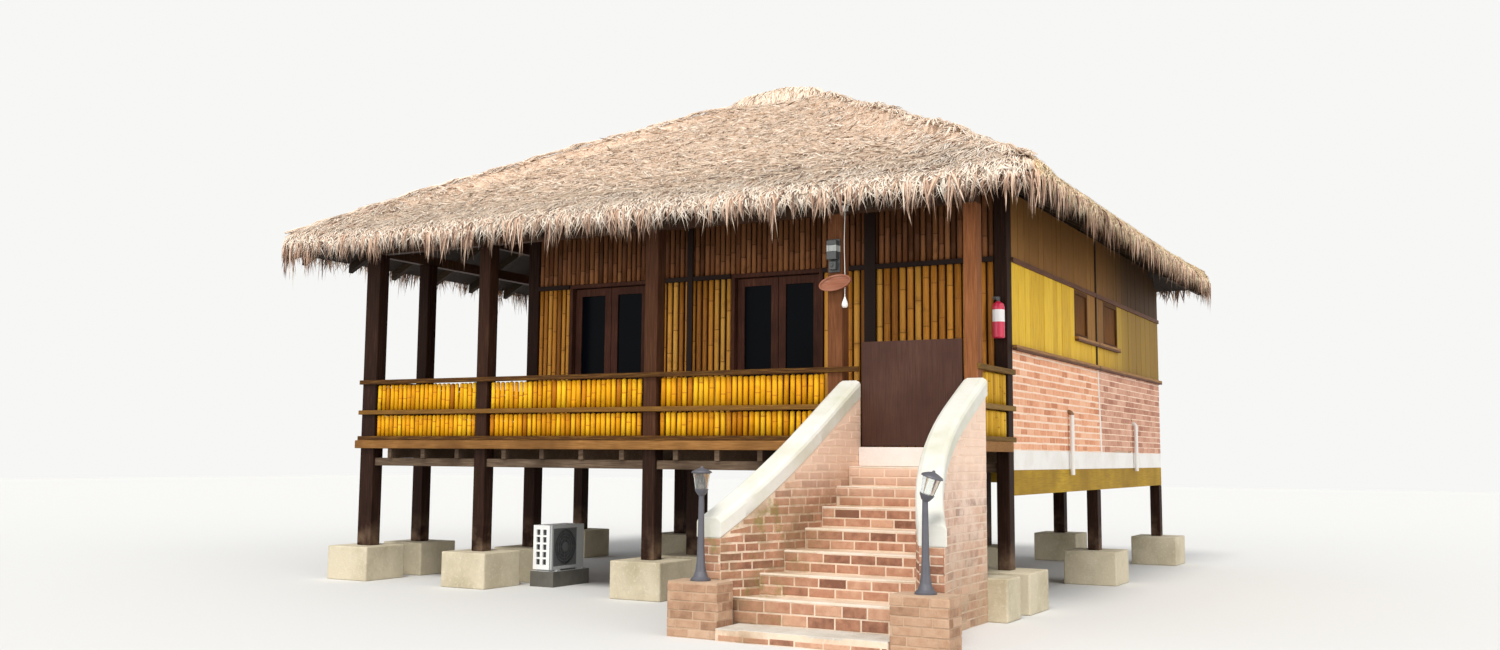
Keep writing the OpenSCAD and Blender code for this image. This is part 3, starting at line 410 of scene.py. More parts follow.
class Pile:
    """Collects small closed shapes into one mesh, each with a tone, and points with a place along it."""

    def __init__(self):
        self.points, self.loops, self.sizes, self.tones, self.alongs, self.count = [], [], [], [], [], 0

    def add(self, points, faces, tone=0.5, along=0.0):
        """points is (N, P, 3) for N copies of one shape, or (P, 3) for a single one."""
        points = np.asarray(points, float)
        points = points[None] if points.ndim == 2 else points
        n, p = points.shape[:2]
        flat = np.concatenate([np.asarray(f) for f in faces])
        starts = self.count + np.arange(n) * p
        self.points.append(points.reshape(-1, 3))
        self.loops.append((flat[None] + starts[:, None]).ravel())
        self.sizes.append(np.tile([len(f) for f in faces], n))
        tone = np.asarray(tone, float)
        self.tones.append(np.broadcast_to(tone if tone.ndim == 2 else tone.reshape(-1, 1), (n, p)).ravel())
        self.alongs.append(np.broadcast_to(np.asarray(along, float), (n, p)).ravel())
        self.count += n * p

    def build(self, name, material, slot, *replaced, smooth=False):
        mesh = bpy.data.meshes.new(name)
        points = np.concatenate(self.points)
        loops, sizes = np.concatenate(self.loops), np.concatenate(self.sizes)
        mesh.vertices.add(len(points))
        mesh.vertices.foreach_set("co", points.astype(np.float32).ravel())
        mesh.loops.add(len(loops))
        mesh.loops.foreach_set("vertex_index", loops.astype(np.int32))
        mesh.polygons.add(len(sizes))
        mesh.polygons.foreach_set("loop_start", np.concatenate([[0], np.cumsum(sizes)[:-1]]).astype(np.int32))
        mesh.update(calc_edges=True)
        for key, values in (("tone", self.tones), ("along", self.alongs)):
            mesh.attributes.new(key, "FLOAT", "POINT").data.foreach_set(
                "value", np.concatenate(values).astype(np.float32))
        mesh.polygons.foreach_set("use_smooth", np.full(len(sizes), smooth))
        place(mesh, name, material, slot, *replaced)


PLATE_FACES = [(3, 2, 1, 0), (0, 1, 5, 4), (1, 2, 6, 5), (2, 3, 7, 6), (3, 0, 4, 7),
               (4, 5, 9, 8), (5, 6, 10, 9), (6, 7, 11, 10), (7, 4, 8, 11), (8, 9, 10, 11)]
BOX_FACES = [(3, 2, 1, 0), (0, 1, 5, 4), (1, 2, 6, 5), (2, 3, 7, 6), (3, 0, 4, 7), (4, 5, 6, 7)]


def slabs(pile, quads, out, chamfer=0.004, tone=0.5):
    """Chamfered slabs: quads (N, 4, 3) are their backs, seen anticlockwise, and out (N, 3) the thickness."""
    quads = np.asarray(quads, float)
    out = np.broadcast_to(out, (len(quads), 3))[:, None]
    ahead = np.roll(quads, -1, axis=1) - quads
    ahead /= np.linalg.norm(ahead, axis=2, keepdims=True)
    inwards = ahead - np.roll(ahead, 1, axis=1)
    shoulder = quads + out * (1 - chamfer / np.linalg.norm(out, axis=2, keepdims=True))
    pile.add(np.concatenate([quads, shoulder, quads + out + inwards * chamfer], axis=1), PLATE_FACES, tone)


def plates(pile, corner, a, b, c, chamfer=0.004, tone=0.5):
    """Boards: corner + a + b, with c outwards and the outer edges chamfered. All are (N, 3) or (3,)."""
    corner, a, b, c = np.broadcast_arrays(*(np.atleast_2d(np.asarray(v, float)) for v in (corner, a, b, c)))
    if np.dot(np.cross(a[0], b[0]), c[0]) < 0:
        a, b = b, a
    slabs(pile, np.stack([corner, corner + a, corner + a + b, corner + b], axis=1), c, chamfer, tone)


def box(pile, lo, hi, tone=0.5):
    (x0, y0, z0), (x1, y1, z1) = lo, hi
    pile.add([(x0, y0, z0), (x1, y0, z0), (x1, y1, z0), (x0, y1, z0),
              (x0, y0, z1), (x1, y0, z1), (x1, y1, z1), (x0, y1, z1)], BOX_FACES, tone)


def sweep(pile, rows, tone=0.5):
    """Closed solid through rows (R, P, 3) of points, each row anticlockwise seen from the next."""
    rows = np.asarray(rows, float)
    r, p = rows.shape[:2]
    faces = [tuple(range(p)), tuple((r - 1) * p + j for j in range(p - 1, -1, -1))]
    faces += [(k * p + j, (k + 1) * p + j, (k + 1) * p + (j + 1) % p, k * p + (j + 1) % p)
              for k in range(r - 1) for j in range(p)]
    pile.add(rows.reshape(-1, 3), faces, tone)


HALF_ROUND = 7


def culm(pile, foot, up, across, out, length, radius, tone, round_top=True, depth=0.7, node_gap=0.33):
    """Half-round strip of split bamboo with nodes, its flat side at foot, standing along up."""
    marks = [(0.0, 1.0, 0.0)]
    start = rng.uniform(0.25, 1.0) * node_gap
    while start < length - 0.05:
        marks += [(start - 0.01, 1.0, 0.1), (start, 1.07, 1.0), (start + 0.01, 1.0, 0.3)]
        start += node_gap * rng.uniform(0.85, 1.15)
    if round_top:
        for share in (0.0, 0.5, 0.85, 1.0):
            marks.append((length - radius * 0.6 * (1 - share), math.sqrt(max(1 - share * share, 0.1)), 0.0))
    else:
        marks.append((length, 1.0, 0.0))
    angles = np.linspace(0, math.pi, HALF_ROUND)
    ring = np.cos(angles)[:, None] * across + np.sin(angles)[:, None] * depth * out
    rings = [foot + up * z + ring * radius * scale for z, scale, _ in marks]
    n = len(rings)
    faces = []
    for k in range(n - 1):
        a, b = k * HALF_ROUND, (k + 1) * HALF_ROUND
        faces += [(a + j, a + j + 1, b + j + 1, b + j) for j in range(HALF_ROUND - 1)]
        faces.append((a + HALF_ROUND - 1, a, b, b + HALF_ROUND - 1))
    faces.append(tuple(range(HALF_ROUND - 1, -1, -1)))
    faces.append(tuple((n - 1) * HALF_ROUND + j for j in range(HALF_ROUND)))
    if np.dot(np.cross(across, up), out) > 0:
        faces = [f[::-1] for f in faces]
    pile.add(np.concatenate(rings), faces, tone, np.repeat([m[2] for m in marks], HALF_ROUND)[None])


def bevelled(node, width=0.006):
    """Softens the edges of a node that stays."""
    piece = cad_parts[node]
    weld = piece.modifiers.new("weld", "WELD")
    weld.merge_threshold = 0.0002
    bevel = piece.modifiers.new("bevel", "BEVEL")
    bevel.width = width
    bevel.segments = 2
    bevel.limit_method = "ANGLE"
    bevel.angle_limit = math.radians(40)


def dress(node, material):
    """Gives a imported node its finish."""
    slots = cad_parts[node].data.materials
    slots.clear()
    slots.append(material)


# Thatch

LO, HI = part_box("thatch_front")
RUN = HI.y - LO.y
EAVE_Z = 4.02
SLOPE = (HI.z - EAVE_Z) / RUN
ROOF_Y = HI.y
HALF_L = HI.x
RIDGE_HALF = HALF_L - RUN
# Each side: the middle of its eave line, the ways along and in from it, and half its length
SIDES = {"front": (np.array([0, LO.y, 0]), X, Y, HALF_L),
         "right": (np.array([HALF_L, ROOF_Y, 0]), Y, -X, RUN),
         "rear": (np.array([0, LO.y + 2 * RUN, 0]), -X, -Y, HALF_L),
         "left": (np.array([-HALF_L, ROOF_Y, 0]), -Y, X, RUN)}
COURSES = 11
COURSE_STEP = 0.03
UNDER_CAP = 0.27
COURSE_D = (RUN - UNDER_CAP) / COURSES
SKY = 9.0
# How near strands come to the roof's box, and how the eave is drawn in, dropped and rounded
EDGE = 0.016
NOSE, NOSE_FADE, NOSE_DROP = 0.1, 0.45, 0.05
TURN_R = 0.15
CORNER_R, CORNER_FAN, CORNER_CUT, CORNER_FADE = 0.32, 1.2, 0.22, 0.4
# The swelling over the hips
HIP_RISE, HIP_W, HIP_IN = 0.1, 0.5, 0.12
HIP_STATIONS, HIP_ACROSS = 48, 17
# Depths of a hip's roll under the swelling and the slope, and of its top and foot where it has a hole
ROLL_TOP, ROLL_FOOT, HOLE_TOP, HOLE_FOOT = 0.01, 0.05, 0.10, 0.14
WORN = 0.07
# Among the strands of a slope, the share of dark ones and their tone
DARK_SHARE, DARK_TONE = 0.09, 0.1
# Hanging locks
CLUMP = 0.085
FRINGE_DROP = 0.35
SHADE = (0.03, 0.019, 0.012)
PALE = ((0.22, 0.14, 0.09), (0.68, 0.5, 0.37), (0.95, 0.77, 0.61), (0.98, 0.87, 0.75))
PINK = ((0.1, 0.05, 0.035), (0.42, 0.25, 0.17), (0.8, 0.56, 0.41), (0.96, 0.82, 0.68))
TAN = ((0.16, 0.095, 0.05), (0.54, 0.37, 0.2), (0.88, 0.665, 0.41), (0.97, 0.84, 0.61))
# Each side: strands on its slope, leaves over its eave and their width, and the colours of the slope
COVER = (("front", 16000, 2700, 0.034, PALE), ("right", 9000, 2200, 0.036, TAN),
         ("rear", 10000, 1500, 0.036, PALE), ("left", 8500, 1500, 0.036, PALE))
HIP_TUFTS, RIDGE_STRANDS = 850, 1500


class Roof:
    """The solid thatch under the strands, to find its height at a place in plan."""

    def __init__(self):
        points, faces = [], []
        for node in ("thatch_front", "thatch_rear", "thatch_left", "thatch_right", "ridge_cap"):
            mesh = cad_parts[node].data
            first = len(points)
            points += [v.co.copy() for v in mesh.vertices]
            faces += [[first + i for i in p.vertices] for p in mesh.polygons]
        self.tree = BVHTree.FromPolygons(points, faces)

    def height(self, x, y):
        hits = (self.tree.ray_cast((a, b, SKY), (0, 0, -1))[0] for a, b in zip(np.ravel(x), np.ravel(y)))
        return np.reshape([hit.z if hit else 0.0 for hit in hits], np.shape(x))


def slope_points(side, u, d, z):
    """From distance u along the eave, d inwards and height z to the house."""
    origin, along, inward, _ = SIDES[side]
    return origin + u[..., None] * along + d[..., None] * inward + z[..., None] * UP


def thatch_core(side, material):
    """A copy of a slope's solid, its eave drawn in and down so that its strands end at the real edge."""
    origin, along, inward, half = SIDES[side]
    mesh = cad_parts["thatch_" + side].data.copy()
    points = np.empty(len(mesh.vertices) * 3, np.float32)
    mesh.vertices.foreach_get("co", points)
    points = points.reshape(-1, 3) - origin
    d = points @ inward
    near = np.clip(1 - d / NOSE_FADE, 0, 1)
    upper = points[:, 2] > EAVE_Z - NOSE_DROP
    d = d + NOSE * near
    reach = half - d - CORNER_CUT * near
    u = np.clip(points @ along, -reach, reach)
    z = points[:, 2] + SLOPE * NOSE * near - NOSE_DROP * near ** 2 * upper
    mesh.vertices.foreach_set("co", slope_points(side, u, d, z).astype(np.float32).ravel())
    mesh.materials.clear()
    place(mesh, "thatch_base_" + side, material, "thatch", "thatch_" + side)


def hip_mound(d):
    """How far the thatch swells over a hip at distance d from the eaves, most on its lower half."""
    share = np.clip(d / RUN, 0, 1)
    return HIP_RISE * np.sin(math.pi * share ** 0.7) ** 0.6


def hip_lift(x, y):
    """How far the rounding of the hips raises the thatch over a place in plan."""
    a, b = HALF_L - np.abs(x), RUN - np.abs(y - ROOF_Y)
    across = np.abs(a - b) / math.sqrt(2)
    return hip_mound((a + b) / 2) * np.clip(1 - (across / HIP_W) ** 2, 0, 1)


def hip_rolls(material, roof):
    """The rounded body of thatch along each hip, under its strands, with holes over the worn patches."""
    rolls = Pile()
    offsets = np.linspace(-HIP_W, HIP_W, HIP_ACROSS)
    for sx in (-1, 1):
        for sy in (-1, 1):
            rows = []
            for d in np.linspace(HIP_IN, RUN - HIP_IN, HIP_STATIONS):
                w = offsets * min(1.0, 1.2 * d / HIP_W)
                x, y = HALF_L - d + w / math.sqrt(2), RUN - d - w / math.sqrt(2)
                x, y = np.minimum(x, HALF_L - NOSE - EDGE), np.clip(y, 0, RUN - NOSE - EDGE)
                plane = EAVE_Z + SLOPE * np.minimum(HALF_L - x, RUN - y)
                worn = roof.height(sx * x, ROOF_Y + sy * y) < plane - ROLL_FOOT
                top = np.where(worn, plane - HOLE_TOP, plane + hip_lift(x, ROOF_Y + y) - ROLL_TOP)
                foot = plane - np.where(worn, HOLE_FOOT, ROLL_FOOT)
                upper, lower = (np.stack([sx * x, ROOF_Y + sy * y, z], axis=1) for z in (top, foot))
                row = np.concatenate([upper, lower[::-1]])
                rows.append(row if sx * sy > 0 else row[::-1])
            sweep(rolls, rows)
    rolls.build("thatch_hips", material, "thatch", smooth=True)


def strand_faces(rings):
    """Faces of a three-sided tapering strand with a number of rings and a tip."""
    faces = [(2, 1, 0)]
    for a in range(0, 3 * rings - 3, 3):
        faces += [(a + j, a + (j + 1) % 3, a + 3 + (j + 1) % 3, a + 3 + j) for j in range(3)]
    a = 3 * (rings - 1)
    return faces + [(a + j, a + (j + 1) % 3, a + 3) for j in range(3)]


def strands(pile, path, across, width, tone, tip=0.6):
    """Strands along path (N, R + 1, 3), whose last points are the tips.

    across (N, 3) is their flat direction, and tone is one value a strand, or one for each of its stations.
    """
    n, stations = path.shape[:2]
    rings = stations - 1
    step = np.gradient(path, axis=1)
    step /= np.linalg.norm(step, axis=2, keepdims=True)
    side = np.broadcast_to(across[:, None], path.shape)
    side = side - step * np.sum(side * step, axis=2, keepdims=True)
    side /= np.linalg.norm(side, axis=2, keepdims=True)
    rise = np.cross(side, step)
    taper = np.linspace(1.0, tip, rings)[None, :, None] * width[:, None, None] / 2
    body = path[:, :rings]
    left, right = body - side[:, :rings] * taper, body + side[:, :rings] * taper
    crest = body + rise[:, :rings] * taper * 0.7
    points = np.stack([left, crest, right], axis=2).reshape(n, rings * 3, 3)
    points = np.concatenate([points, path[:, -1:]], axis=1)
    along = np.concatenate([np.repeat(np.linspace(0, 0.85, rings), 3), [1.0]])
    if tone.ndim == 2:
        tone = np.concatenate([np.repeat(tone[:, :rings], 3, axis=1), tone[:, -1:]], axis=1)
    pile.add(points, strand_faces(rings), tone, along[None])


def course_lift(d):
    """How far the courses stand over the plain slope at distance d from the eave."""
    return COURSE_STEP * (1 - np.mod(d / COURSE_D, 1.0)) * (d < COURSE_D * COURSES)


def eave_profile():
    """Distance in and height of a strand over the eave, by its length from where it leaves the slope."""
    s = np.linspace(-0.8, 1.0, 361)
    heading = np.clip(math.atan(SLOPE) + s / TURN_R, math.atan(SLOPE), math.pi / 2)
    step = s[1] - s[0]
    d, z = -np.cumsum(np.cos(heading)) * step, -np.cumsum(np.sin(heading)) * step
    d += EDGE + 0.012 - d[-1]
    return s, d, z + EAVE_Z + SLOPE * d[0] - z[0]


def over_eave(d):
    """Real distance in and height for a distance measured down the slope, which bends over the eave."""
    s_mark, d_mark, z_mark = eave_profile()
    s = s_mark[0] + (d_mark[0] - d) * math.sqrt(1 + SLOPE ** 2)
    near = s > s_mark[0]
    inwards = np.where(near, np.interp(s, s_mark, d_mark), d)
    return inwards, np.where(near, np.interp(s, s_mark, z_mark), EAVE_Z + SLOPE * d)


def round_corner(u, d, half):
    """Draws strands in round the corners of an eave; gives their places and how far they have turned."""
    bend = np.clip(1 - (half - np.abs(u)) / CORNER_R, 0, math.sqrt(0.5))
    d = d + CORNER_R * (1 - np.sqrt(1 - bend ** 2)) * np.clip(1 - d / CORNER_FADE, 0, 1)
    return np.clip(u, d + EDGE - half, half - d - EDGE), d, bend


def slope_strands(side, count, roof):
    """Curled tips that cover a slope, longer and straighter towards the eave, and none over a worn patch."""
    along_eave, half = SIDES[side][1], SIDES[side][3]
    anywhere = rng.uniform(0.1, RUN - 0.03, count * 3)
    d = np.concatenate([anywhere, 0.08 + 1.3 * rng.uniform(0, 1, count) ** 1.6])
    u = rng.uniform(-half, half, len(d))
    order = rng.permutation(len(d))
    d, u = d[order], u[order]
    keep = np.abs(u) < half - d
    d, u = d[keep][:count], u[keep][:count]
    n = len(d)
    eave = np.clip(1 - (d - 0.1) / 1.1, 0, 1)
    length = rng.uniform(0.09, 0.2, n) + 0.2 * eave
    spread = rng.normal(0, 1, n) * (0.75 - 0.5 * eave)
    curl = rng.normal(0, 1, n) * 0.4
    t = np.linspace(0, 1, 3)[None]
    angle = spread[:, None] + curl[:, None] * t
    uu = u[:, None] + length[:, None] * t * np.sin(angle)
    dd, z = over_eave(d[:, None] - length[:, None] * t * np.cos(angle) * 0.88)
    uu, dd, _ = round_corner(uu, dd, half)
    lift = course_lift(dd) * np.clip(dd / 0.1 - 1, 0, 1)
    lift += 0.004 + rng.uniform(0, 0.035, (n, 1)) * t ** 0.7 + 0.01 * t
    path = slope_points(side, uu, dd, z + lift)
    covered = (path[:, :2, 2] - roof.height(path[:, :2, 0], path[:, :2, 1]) < WORN).all(axis=1)
    path[..., 2] += hip_lift(path[..., 0], path[..., 1])
    path, n = path[covered], int(covered.sum())
    # Strands near the eave are painted lighter: painted light where they lie at a grazing angle to the light.
    tone = np.clip(rng.normal(0.73, 0.2, n) + 0.12 * eave[covered], 0.05, 1)
    tone[rng.uniform(0, 1, n) < DARK_SHARE] = DARK_TONE
    pile = Pile()
    strands(pile, path, np.broadcast_to(along_eave, (n, 3)), rng.uniform(0.012, 0.026, n), tone)
    return pile


def eave_strands(side, count, width):
    """Long leaves that bend over the eave and hang in pointed locks, fanned round the corners."""
    _, along_eave, inward, half = SIDES[side]
    locks = np.arange(-half + 0.1, half - 0.09, CLUMP)
    locks = locks + rng.uniform(-0.3, 0.3, len(locks)) * CLUMP
    drop = FRINGE_DROP + 0.05 * np.sin(locks * 3.1 + 1.3) + 0.04 * np.sin(locks * 9.7)
    drop = drop + rng.normal(0, 0.04, len(locks))
    drop = drop + 0.14 * (rng.uniform(0, 1, len(locks)) > 0.72)
    swing = rng.normal(0, 0.035, len(locks))
    pick = rng.integers(0, len(locks), count)
    loose = rng.uniform(0, 1, count) < 0.14
    inner = rng.uniform(0, 1, count) ** 1.8
    root = locks[pick] + rng.uniform(-0.8, 0.8, count) * CLUMP
    free = root + rng.normal(0, 0.06, count)
    tip = np.where(loose, free, locks[pick] + swing[pick] + rng.normal(0, 0.01, count))
    start = -0.95 * rng.uniform(0, 1, count) ** 1.4
    end = drop[pick] * rng.uniform(0.3, 1.0, count) ** 0.6 * (1 - 0.4 * inner)
    end = end + 0.1 * (rng.uniform(0, 1, count) > 0.95)
    t = np.linspace(0, 1, 7)[None]
    s = start[:, None] + (end - start)[:, None] * t
    s_mark, d_mark, z_mark = eave_profile()
    gather = np.clip(s / end[:, None], 0, 1) ** 1.2
    uu = root[:, None] + (tip - root)[:, None] * gather
    uu = uu + rng.normal(0, 0.02, (count, 1)) * np.sin(math.pi * t)
    dd = np.interp(s, s_mark, d_mark) + 0.11 * inner[:, None] * np.clip(0.3 + s / 0.1, 0.2, 1)
    z = np.interp(s, s_mark, z_mark) + course_lift(dd) * (s < 0) * 0.6 + 0.008 * rng.uniform(0, 1, (count, 1))
    z -= 0.03 * inner[:, None]
    dd = np.maximum(dd + 0.05 * rng.normal(0, 1, (count, 1)) * np.clip(s / 0.4, 0, 1), EDGE)
    corner = np.clip(1 - (half - np.abs(root)) / CORNER_FAN, 0, 1)
    way = np.sign(root)
    uu -= (way * np.tan(math.pi / 4 * corner))[:, None] * dd * (s < 0.1)
    uu, dd, bend = round_corner(uu, dd, half)
    path = slope_points(side, uu, dd, z)
    path[..., 2] += hip_lift(path[..., 0], path[..., 1]) * (s < 0)
    # Strands further in are painted darker: painted shade inside the fringe.
    tone = np.clip(rng.normal(0.64, 0.17, count) - 0.7 * inner, 0.03, 1)
    tone = np.clip(tone[:, None] - 0.16 * np.clip((s + 0.1) / 0.3, 0, 1), 0.02, 1)
    turn = bend[:, 3]
    across = np.sqrt(1 - turn ** 2)[:, None] * along_eave + (turn * way)[:, None] * inward
    across = across + inward * rng.normal(0, 0.3, (count, 1))
    pile = Pile()
    strands(pile, path, across, rng.uniform(0.6, 1.3, count) * width, tone, 0.3)
    return pile


def hip_strands(count):
    """Loose tufts along the hips, most frayed on the front right one."""
    pile = Pile()
    for sx, sy in ((1, -1), (1, 1), (-1, -1), (-1, 1)):
        frayed = 1.0 if (sx, sy) == (1, -1) else 0.45
        d = rng.uniform(HIP_IN, RUN - 0.05, count)
        spot = np.clip(np.sin(d * 5.1 + 0.6) + 0.3, 0.15, 1) * frayed
        turn = rng.normal(0, 0.6, count)
        length = rng.uniform(0.16, 0.34, count)
        t = np.linspace(0, 1, 4)[None]
        down = d[:, None] - length[:, None] * t * 0.7
        swing = length[:, None] * t * np.sin(turn)[:, None] * 0.8
        x = np.clip(HALF_L - down + swing * 0.7, 0, HALF_L - HIP_IN)
        y = np.clip(RUN - down - swing * 0.7, 0, RUN - HIP_IN)
        depth = np.minimum(HALF_L - x, RUN - y)
        bow = np.sin(math.pi * t * 0.75) * spot[:, None] * rng.uniform(0.01, 0.06, (count, 1))
        z = EAVE_Z + depth * SLOPE + course_lift(depth) + 0.006 + bow + hip_lift(x, ROOF_Y + y)
        path = np.stack([sx * x, ROOF_Y + sy * y, z], axis=2)
        tone = np.clip(rng.normal(0.62, 0.22, count), 0.05, 1)
        across = np.broadcast_to(np.array([sx, -sy, 0.0]) / math.sqrt(2), (count, 3))
        strands(pile, path, across, rng.uniform(0.014, 0.03, count), tone)
    return pile


def ridge_strands(count, roof):
    """Strands laid over the ridge cap, down onto the slopes."""
    past = 0.22
    x = rng.uniform(-RIDGE_HALF - past, RIDGE_HALF + past, count)
    end = np.clip((np.abs(x) - RIDGE_HALF) / past, 0, 1)
    sign = np.where(rng.uniform(0, 1, count) < 0.5, -1.0, 1.0)
    heading = math.pi / 2 * (1 - end * rng.uniform(0.5, 1, count)) + rng.normal(0, 0.35, count)
    way = np.stack([np.cos(heading) * np.sign(x), np.sin(heading) * sign], axis=1)
    base = np.clip(x, -RIDGE_HALF, RIDGE_HALF)
    start = rng.uniform(-0.06, 0.22, count)
    length = rng.uniform(0.16, 0.3, count)
    t = np.linspace(0, 1, 5)[None]
    reach = start[:, None] + length[:, None] * t
    px, py = base[:, None] + way[:, :1] * reach, ROOF_Y + way[:, 1:] * reach
    z = roof.height(px, py) + 0.004 + rng.uniform(0, 0.03, (count, 1)) * t
    tone = np.clip(rng.normal(0.52, 0.2, count), 0.05, 1)
    across = np.stack([way[:, 1], -way[:, 0], np.zeros(count)], axis=1)
    path = np.stack([px, py, np.minimum(z, cad_box[1][2] - EDGE)], axis=2)
    pile = Pile()
    strands(pile, path, across, rng.uniform(0.012, 0.026, count), tone)
    return pile


def make_thatch():
    share = 1.0
    roof = Roof()
    pale, tan, pink = (thatch_paint("thatch_" + name, colours)
                       for name, colours in (("pale", PALE), ("tan", TAN), ("pink", PINK)))
    for side, over, hanging, width, colours in COVER:
        thatch_core(side, thatch_paint("thatch_base_" + side, (SHADE, *colours[1:]), side))
        slope_strands(side, int(over * share), roof).build(
            "strands_" + side, tan if colours is TAN else pale, "thatch", smooth=True)
        eave_strands(side, int(hanging * share), width).build(
            "fringe_" + side, pink, "thatch", "eave_fringe", smooth=True)
    hip_strands(int(HIP_TUFTS * share)).build("strands_hips", pale, "thatch", smooth=True)
    ridge_strands(int(RIDGE_STRANDS * share), roof).build("strands_ridge", pale, "thatch", smooth=True)
    hip_rolls(thatch_paint("thatch_hip_base", (SHADE, *PALE[1:])), roof)
    dress("ridge_cap", thatch_paint("thatch_ridge", (SHADE, *PALE[:3]), "front"))


# Places that several pieces share

COLUMN_X = (-3.63, -1.88, 0.395, 2.54, 3.94)
ROW_Y = (-2.95, -2.05, 1.32, 4.78)
POST = 0.16
CORNER_POST = 0.21
RIGHT_X = 4.07
REAR_Y = 4.94
ROOM_X, ROOM_Y = -1.88, -2.05
WALL_T = 0.1
DECK_Z = 1.57
BRICK_FOOT, BRICK_TOP = 1.55, 2.59
HEAD_Z = 3.465
RAFTER_DROP = 0.28
JOINT_Y = 1.4
STRIP_Y = (1.46, 1.57)
WINDOW_Y = ((0.44, 1.02), (1.78, 2.48))
WINDOW_X = ((-0.4, 0.1), (1.8, 2.47))
WINDOW_Z = (2.87, 3.41)
# The ways along and out of each side's faces
FACES = {"front": (X, -Y), "rear": (X, Y), "left": (Y, -X), "right": (Y, X)}


class Face:
    """An upright face of the house or stair, at one x or y. u runs along it and depth inwards from it."""

    def __init__(self, side, where, start=0.0):
        self.along, self.out = FACES[side]
        self.base = np.abs(self.out) * where + self.along * start
        self.turned = np.dot(np.cross(self.along, UP), self.out) < 0

    def at(self, u, depth=0.0, z=0.0):
        return self.base + self.along * u - self.out * depth + UP * z


def plate_height(x, y):
    """Underside of the rafters over a place in plan."""
    d = min(HALF_L - abs(x), RUN - abs(y - ROOF_Y))
    return EAVE_Z + d * SLOPE - RAFTER_DROP


def spans_around(lo, hi, gaps, kinks=()):
    """Splits lo to hi at the gaps and kinks; gives each stretch and whether it is a gap."""
    marks = sorted({lo, hi, *kinks, *(v for gap in gaps for v in gap)})
    return [(a, b, any(p < (a + b) / 2 < q for p, q in gaps)) for a, b in zip(marks, marks[1:])]


# Balustrades

RAIL_FEET = (1.625, 1.93, 2.29)
RAIL_TONES = (0.45, 0.95, 0.3)
RAIL_H = 0.05
RAIL_OUT, RAIL_IN, RAIL_LAP = 0.03, 0.04, 0.002
SLAT_PITCH = 0.066
SLAT_R = 0.029


def balustrade(name, face, rails, bays, bamboo, wood):
    """Rails from u0 to u1 at each height, and bamboo slats between the posts of each bay."""
    along, out = face.along, face.out
    bars, slats = Pile(), Pile()
    for foot, tone, (u0, u1) in zip(RAIL_FEET, RAIL_TONES, rails):
        plates(bars, face.at(u0, RAIL_LAP, foot), along * (u1 - u0), UP * RAIL_H, out * (RAIL_OUT + RAIL_LAP),
               0.005, tone)
        for a, b in bays:
            plates(bars, face.at(a, RAIL_IN, foot), along * (b - a), UP * RAIL_H, out * RAIL_IN, 0.002,
                   rng.uniform(0.2, 0.4))
    for a, b in bays:
        count = int((b - a - 0.01) / SLAT_PITCH)
        pad = (b - a - count * SLAT_PITCH) / 2
        for low, high in zip(RAIL_FEET, RAIL_FEET[1:]):
            for k in range(count):
                u = a + pad + (k + 0.5) * SLAT_PITCH + rng.normal(0, 0.002)
                lean = UP + along * rng.normal(0, 0.008)
                foot = face.at(u, RAIL_IN, low + RAIL_H - RAIL_LAP)
                height = high - low - RAIL_H - rng.uniform(0.001, 0.01)
                culm(slats, foot, lean, along, out, height, SLAT_R * rng.uniform(0.9, 1.04),
                     rng.normal(0.55, 0.2), depth=0.97)
    slats.build(name + "_slats", bamboo, "bamboo", name, smooth=True)
    bars.build(name + "_rails", wood, "bamboo", name)


def make_balustrades():
    bamboo = bamboo_paint("bamboo_slats", (0.44, 0.15, 0.006), (0.82, 0.38, 0.007), (0.92, 0.54, 0.02))
    olive = bamboo_paint("bamboo_slats_olive", (0.32, 0.15, 0.008), (0.58, 0.32, 0.018), (0.76, 0.46, 0.045))
    wood = timber("rail_wood", "x", (0.03, 0.012, 0.003), (0.09, 0.037, 0.008), (0.3, 0.15, 0.03), toned=True)
    side_wood = timber("rail_wood_side", "y", (0.05, 0.025, 0.006), (0.17, 0.09, 0.018), (0.3, 0.18, 0.05),
                       toned=True)
    lo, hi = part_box("front_balustrade")
    rear_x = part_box("rear_balustrade")[0].x
    rim_end = STAIR_X - STAIR_HALF - PARAPET_T - 0.03
    x0, x1, x2, x3 = COLUMN_X[:4]
    y0, y1 = ROW_Y[:2]
    for side, where, rails, bays, slat, rail in (
            ("front", y0, ((lo.x, rim_end), (lo.x, rim_end), (lo.x, hi.x)),
             ((x0 + CORNER_POST, x1), (x1 + POST, x2), (x2 + POST, x3)), bamboo, wood),
            ("left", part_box("posts")[0].x, ((y0, REAR_Y),) * 3,
             [(a + POST, b) for a, b in zip(ROW_Y, ROW_Y[1:])], bamboo, side_wood),
            ("rear", REAR_Y, ((rear_x, ROOM_X),) * 3, ((x0 + POST, ROOM_X),), bamboo, wood),
            ("right", RIGHT_X, ((y0, y1 + POST),) * 3, ((y0 + POST, y1),), olive, side_wood)):
        balustrade(side + "_balustrade", Face(side, where), rails, bays, slat, rail)


# Bamboo walls

CULM_BACK = 0.033
CULM_DEPTH = 0.032


